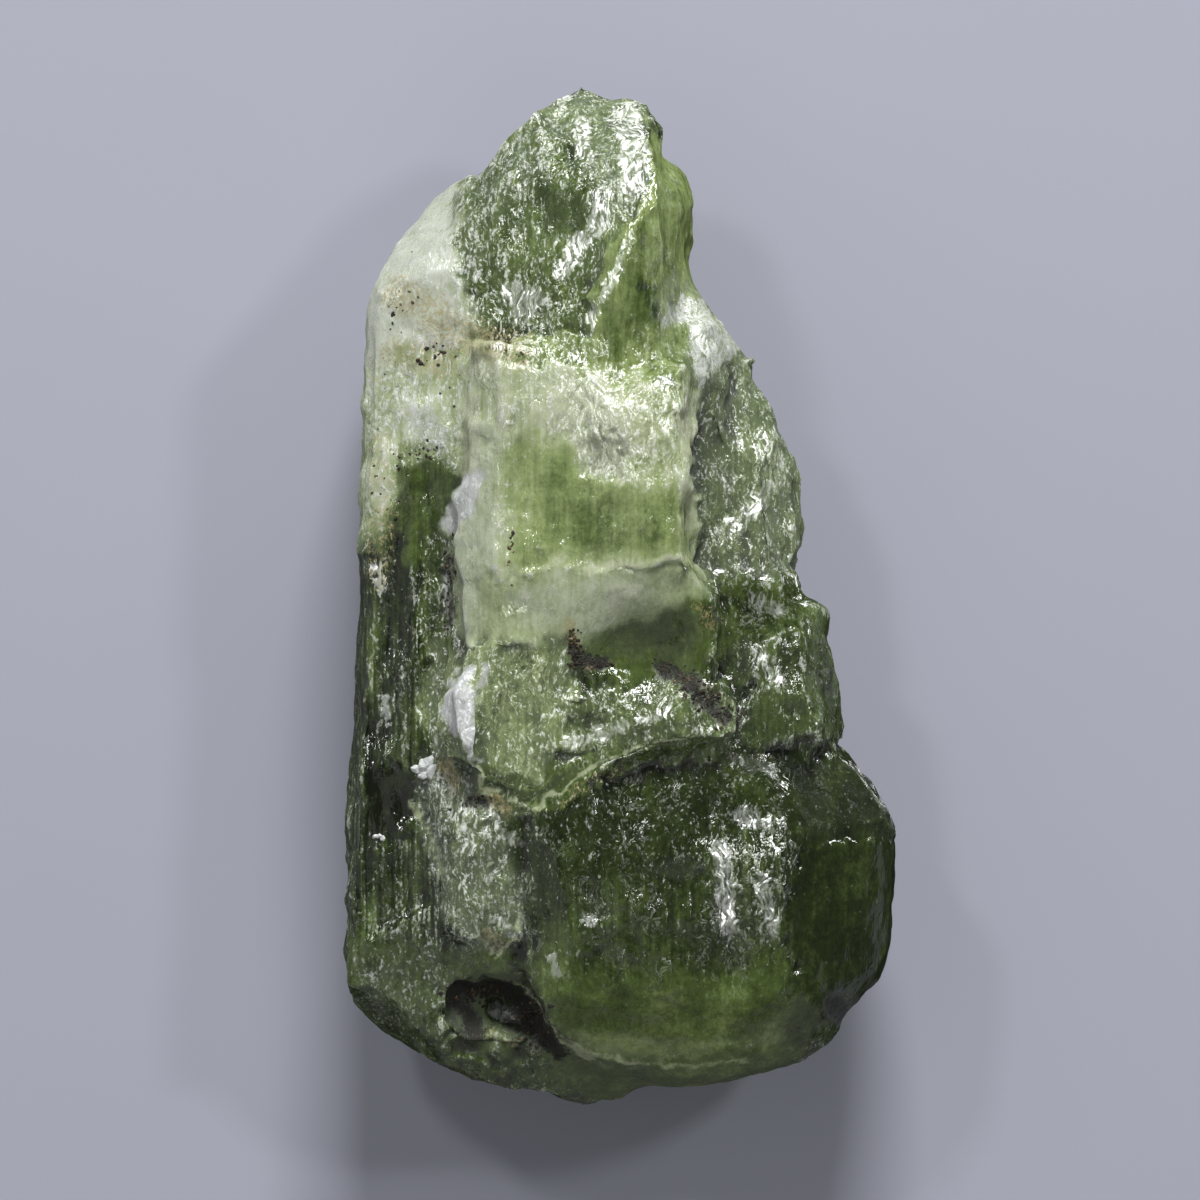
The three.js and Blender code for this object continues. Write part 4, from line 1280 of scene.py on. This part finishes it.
    def _relief(self, surface: Surface, noise: Noise) -> np.ndarray:
        """How far each point moves out along its normal.

        Args:
            surface: the surface points in millimetres, and their masks.
            noise: the crystal's noise.

        Returns:
            A distance in millimetres for each point.
        """
        p, masks = surface.points, surface.masks
        broad = np.abs(noise.layered(p * self.groove_turns, 2))
        fine = np.abs(noise.layered(p * self.fine_groove_turns + 50.0, 2))
        grooves = 0.6 * broad + 0.5 * fine - 0.35
        chips = np.full(len(p), -0.25)
        for size, share, shift in self.chips:
            cells = p * self.chip_squash / size + shift
            chips += share * size * noise.facets(cells, self.chip_tilt, self.chip_dome)
        treads = steps(self.treads * noise.layered(p * self.tread_turns + 20.0, 2), self.tread_edge)
        grain = noise.layered(p * 2.2 + 70.0, 2)
        return (
            masks["grooves"] * grooves
            - masks["scoops"] * chips
            + masks["knobs"] * chips
            + masks["terraces"] * treads
            + self.grain * grain
            - self.dirt_depth * masks["dirt"]
        )

    def _shape(self, mesh: bpy.types.Mesh) -> Surface:
        """Breaks and grooves the surface, inside the packed solid's box.

        Args:
            mesh: the crystal's even mesh, which is changed.

        Returns:
            The finished surface with its masks.
        """
        noise = Noise(self.seed)
        p = self._read(mesh, "co") / MM
        surface = Surface(p, self._read(mesh, "normal"), self._masks(p, noise))
        sway = noise.columns(p * 0.8, 2, (100.0, 131.0, 162.0))
        melted = self._neighbour_mean(mesh, p, self.melt_rounds)
        moved = blend(p, melted, surface.masks["melt"][:, None]) + self.wobble * sway * (1.0, 1.0, 0.4)
        moved += surface.normals * (self._relief(surface, noise) - self.inset)[:, None]
        low, high = (np.array(corner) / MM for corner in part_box(NODE))
        moved = np.clip(moved, low, high)
        moved[:, 2] = np.where(p[:, 2] < 0.5 * self.voxel, low[2], moved[:, 2])
        mesh.vertices.foreach_set("co", (moved * MM).ravel())
        mesh.update()
        surface.points = moved
        surface.normals = self._read(mesh, "normal")
        return surface

    def _wear(self, mesh: bpy.types.Mesh, surface: Surface) -> None:
        """Paints sharp edges lighter, a painted highlight, and tight hollows darker, painted shade, by how
        the surface bends.

        Args:
            mesh: the crystal's mesh.
            surface: the surface, whose masks are changed.
        """
        masks = surface.masks
        for rounds, light, dark in self.wear:
            mean = self._neighbour_mean(mesh, surface.points, rounds)
            rise = ((mean - surface.points) * surface.normals).sum(axis=1)
            bend = rise / rise.std()
            # painted highlight: sharp edges are made paler and more frosted; painted shade: hollows are made
            # darker
            masks["milk"] = np.clip(masks["milk"] + light * smooth(0.6, 3.0, -bend), 0.0, 1.0)
            masks["tone"] = masks["tone"] + 0.1 * smooth(0.5, 3.0, -bend) - dark * smooth(0.5, 3.0, bend)

    def _store(self, mesh: bpy.types.Mesh, surface: Surface) -> None:
        """Writes what the finish reads as attributes of the mesh.

        These are the masks, the place pushed about by noise, and how far the shading of the steep sides is
        turned up, so that they look as deep as the front and don't mirror the floor.

        Args:
            mesh: the crystal's mesh, which is given the attributes.
            surface: the finished surface with its masks.
        """
        marks = (mark.name.lower() for mark in Mark)
        for name in ("tone", "milk", "haze", "sparkle", "matt", "threads", *marks):
            mesh.attributes.new(name, "FLOAT", "POINT").data.foreach_set("value", surface.masks[name])
        noise = Noise(self.seed + 1)
        push = noise.columns(surface.points * 1.3, 2, (0.0, 31.0, 62.0))
        up = surface.normals[:, 2]
        lifted = np.maximum(self.lift * smooth(-0.7, -0.2, -up), surface.masks["level"])
        lifted = lifted * smooth(-0.1, 0.1, up) * (1.0 - surface.masks["dirt"])
        vectors = {
            WARPED: surface.points + self.warp * push,
            LIFT: lifted[:, None] * (0.0, 0.0, 1.0),
        }
        for name, values in vectors.items():
            mesh.attributes.new(name, "FLOAT_VECTOR", "POINT").data.foreach_set("vector", values.ravel())

    def build(self) -> bpy.types.Object:
        """Builds the crystal's surface and dresses it.

        Returns:
            The finished piece.
        """
        piece = self._copy()
        surface = self._shape(piece.data)
        self._wear(piece.data, surface)
        self._store(piece.data, surface)
        piece.data.materials.append(self.finish.material())
        choose(piece)
        bpy.ops.object.shade_smooth()
        log.info("crystal_surface: %d faces", len(piece.data.polygons))
        return piece


@dataclass(frozen=True)
class Cluster:
    """Crumbs that lie together, in millimetres."""

    middle: Point
    reach: Point
    count: int
    size: float = 0.16


DARK_CLUSTERS = (
    Cluster((-2.0, -2.0), (0.14, 0.3), 50, 0.2),
    Cluster((-1.8, -2.8), (0.2, 0.25), 40, 0.2),
    Cluster((-1.1, -2.9), (0.4, 0.12), 50, 0.2),
    Cluster((1.9, -3.1), (0.35, 0.16), 36, 0.18),
    Cluster((3.0, -3.8), (0.5, 0.3), 70, 0.2),
    Cluster((3.9, -4.5), (0.5, 0.3), 60, 0.2),
    Cluster((4.7, -5.1), (0.4, 0.25), 36, 0.2),
    Cluster((3.9, -0.8), (0.25, 0.3), 18, 0.16),
    Cluster((-6.2, -17.1), (0.6, 0.3), 60, 0.24),
    Cluster((-3.9, -18.3), (0.35, 0.5), 70, 0.24),
    Cluster((-3.0, -19.4), (0.4, 0.3), 26, 0.2),
    Cluster((-8.5, 10.0), (0.2, 0.16), 12, 0.24),
    Cluster((-7.6, 10.3), (0.4, 0.2), 14, 0.18),
    Cluster((-9.4, 12.4), (0.5, 0.5), 14, 0.18),
    Cluster((-10.0, 10.6), (0.5, 1.2), 14, 0.12),
    Cluster((-9.5, 4.2), (0.2, 1.0), 22, 0.18),
    Cluster((-7.2, 8.4), (0.9, 0.7), 8, 0.12),
    Cluster((-8.6, 6.1), (0.7, 0.22), 26, 0.16),
    Cluster((-10.3, 5.0), (0.25, 1.2), 16, 0.14),
    Cluster((-6.3, -8.7), (0.5, 0.15), 26, 0.2),
    Cluster((-4.6, 2.2), (0.08, 0.4), 9, 0.2),
    Cluster((-4.7, 1.0), (0.06, 0.3), 5, 0.14),
    Cluster((-7.4, 0.6), (0.15, 1.1), 34, 0.18),
    Cluster((-4.4, 10.2), (0.3, 0.2), 5, 0.2),
    Cluster((4.0, -6.9), (1.6, 0.3), 40, 0.13),
    Cluster((9.7, -18.0), (0.3, 0.3), 16, 0.22),
)
WHITE_CLUSTERS = (
    Cluster((-8.35, -7.35), (0.2, 0.17), 22, 0.62),
    Cluster((-7.3, -9.6), (0.3, 0.8), 7, 0.16),
    Cluster((-10.2, -10.3), (0.16, 0.1), 4, 0.3),
)


@dataclass
class Grains:
    """Small angular grains that lie on the crystal, joined in one mesh."""

    name: str
    clusters: tuple[Cluster, ...]
    finish: CrumbFinish | WhiteGrainFinish
    roughness: float
    detail: int
    sink: float = 0.25
    seed: int = 11

    def _pattern(self) -> tuple[np.ndarray, np.ndarray]:
        """The points and faces of one grain, half a unit across each way."""
        deselect_all()
        bpy.ops.mesh.primitive_ico_sphere_add(subdivisions=self.detail, radius=0.5)
        pattern = bpy.context.object
        points = np.array([vertex.co for vertex in pattern.data.vertices])
        faces = np.array([tuple(face.vertices) for face in pattern.data.polygons])
        bpy.data.objects.remove(pattern)
        return points, faces

    def build(self, ground: BVHTree) -> bpy.types.Object:
        """Drops the grains onto the crystal.

        Args:
            ground: the crystal's surface.

        Returns:
            The joined grains.
        """
        draw = np.random.RandomState(self.seed)
        points, faces = self._pattern()
        all_points, all_faces = [], []
        for cluster in self.clusters:
            for _ in range(cluster.count):
                x, y = np.array(cluster.middle) + draw.normal(size=2) * cluster.reach
                hit, normal, _, _ = ground.ray_cast(Vector((x * MM, y * MM, 1.0)), Vector((0.0, 0.0, -1.0)))
                stretch = cluster.size * draw.uniform(0.6, 1.2) ** 2 * draw.uniform(0.6, 1.2, 3)
                rough = points * (1.0 + self.roughness * draw.uniform(-1.0, 1.0, (len(points), 1)))
                turn, _ = np.linalg.qr(draw.normal(size=(3, 3)))
                if hit is None or normal.z < 0.2:
                    continue
                middle = np.array(hit) - np.array(normal) * self.sink * stretch.mean() * MM
                all_faces.append(faces + len(points) * len(all_points))
                all_points.append((rough * stretch) @ (turn * np.linalg.det(turn)).T * MM + middle)
        mesh = bpy.data.meshes.new(self.name)
        mesh.from_pydata(np.concatenate(all_points).tolist(), [], np.concatenate(all_faces).tolist())
        mesh.materials.append(self.finish.material())
        piece = bpy.data.objects.new(self.name, mesh)
        bpy.context.collection.objects.link(piece)
        log.info("%s: %d grains", self.name, len(all_points))
        return piece


@dataclass(frozen=True)
class Lamp:
    """A square soft light, in metres and watts, which may be seen through the crystal."""

    name: str
    place: Triple
    side: float
    power: float
    seen_through: bool = True

    def build(self) -> None:
        """Adds the light, turned towards the crystal."""
        data = bpy.data.lights.new(self.name, "AREA")
        data.shape = "SQUARE"
        data.size = self.side
        data.energy = self.power
        lamp = bpy.data.objects.new(self.name, data)
        lamp.location = self.place
        lamp.visible_transmission = self.seen_through
        lamp.rotation_euler = (-Vector(self.place)).to_track_quat("-Z", "Y").to_euler()
        bpy.context.collection.objects.link(lamp)


@dataclass
class Studio:
    """The floor, the soft light and a camera that looks straight down on the crystal."""

    floor_side: float = 1.6
    floor_gap: float = 0.00005
    camera_height: float = 0.45
    view_centre: Point = (-0.86 * MM, -0.17 * MM)
    view_width: float = 51.6 * MM
    focus_level: float = 8.0 * MM
    sensor: float = 36.0
    bounces: int = 4
    glossy_bounces: int = 2
    diffuse_bounces: int = 2
    brightest_bounce: float = 1.5
    sky: Colour = (0.85, 0.86, 0.9, 1.0)
    sky_strength: float = 0.09
    lamps: tuple[Lamp, ...] = (
        Lamp("key", (0.03, 0.38, 0.25), 0.14, 2.1, seen_through=False),
        Lamp("fill", (-0.36, -0.02, 0.3), 0.7, 0.4),
        Lamp("glint_left", (-0.16, 0.2, 0.3), 0.04, 0.2, seen_through=False),
        Lamp("glint_right", (0.22, 0.12, 0.28), 0.04, 0.2, seen_through=False),
        Lamp("near", (0.1, -0.4, 0.3), 0.7, 0.4),
    )
    finish: FloorFinish = FloorFinish()

    def _floor(self) -> None:
        """Adds the floor just under the crystal."""
        deselect_all()
        bpy.ops.mesh.primitive_plane_add(size=self.floor_side, location=(0.0, 0.0, -self.floor_gap))
        floor = bpy.context.object
        floor.name = "floor"
        bpy.ops.object.transform_apply(location=True)
        floor.data.materials.append(self.finish.material())

    def _camera(self) -> None:
        """Adds the camera over the crystal, with the pointed end up in the picture."""
        data = bpy.data.cameras.new("camera")
        data.sensor_width = self.sensor
        data.lens = self.sensor * (self.camera_height - self.focus_level) / self.view_width
        data.clip_start = 0.01
        camera = bpy.data.objects.new("camera", data)
        camera.location = (*self.view_centre, self.camera_height)
        bpy.context.collection.objects.link(camera)
        bpy.context.scene.camera = camera

    def _sky(self) -> None:
        """Gives the world a faint even light."""
        world = bpy.data.worlds.new("sky")
        world.use_nodes = True
        background = world.node_tree.nodes["Background"]
        background.inputs["Color"].default_value = self.sky
        background.inputs["Strength"].default_value = self.sky_strength
        bpy.context.scene.world = world

    def _limit_bounces(self) -> None:
        """Ends each path of light inside the crystal after a few turns."""
        cycles = bpy.context.scene.cycles
        cycles.max_bounces = self.bounces
        cycles.transmission_bounces = self.bounces
        cycles.glossy_bounces = self.glossy_bounces
        cycles.diffuse_bounces = self.diffuse_bounces
        cycles.sample_clamp_indirect = self.brightest_bounce

    def build(self) -> None:
        """Builds the whole studio."""
        self._camera()
        self._floor()
        self._sky()
        for lamp in self.lamps:
            lamp.build()
        self._limit_bounces()
        bpy.context.scene.view_settings.view_transform = "Standard"
        log.info("studio: %d lamps", len(self.lamps))


def attach(piece: bpy.types.Object) -> None:
    """Makes a piece ride on the crystal's body, in place of the packed solid."""
    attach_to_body(piece, BODY)
    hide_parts(NODE)


def main() -> None:
    """Builds the studio, the crystal and what lies on it."""
    logging.basicConfig(level=logging.INFO, format="%(message)s")
    Studio().build()
    crystal = Crystal().build()
    ground = BVHTree.FromObject(crystal, bpy.context.evaluated_depsgraph_get())
    crumbs = Grains("dark_crumbs", DARK_CLUSTERS, CrumbFinish(), roughness=0.28, detail=1).build(ground)
    white = Grains("white_grains", WHITE_CLUSTERS, WhiteGrainFinish(), roughness=0.14, detail=2).build(ground)
    for piece in (crystal, crumbs, white):
        attach(piece)
    deselect_all()


if __name__ == "__main__":
    main()
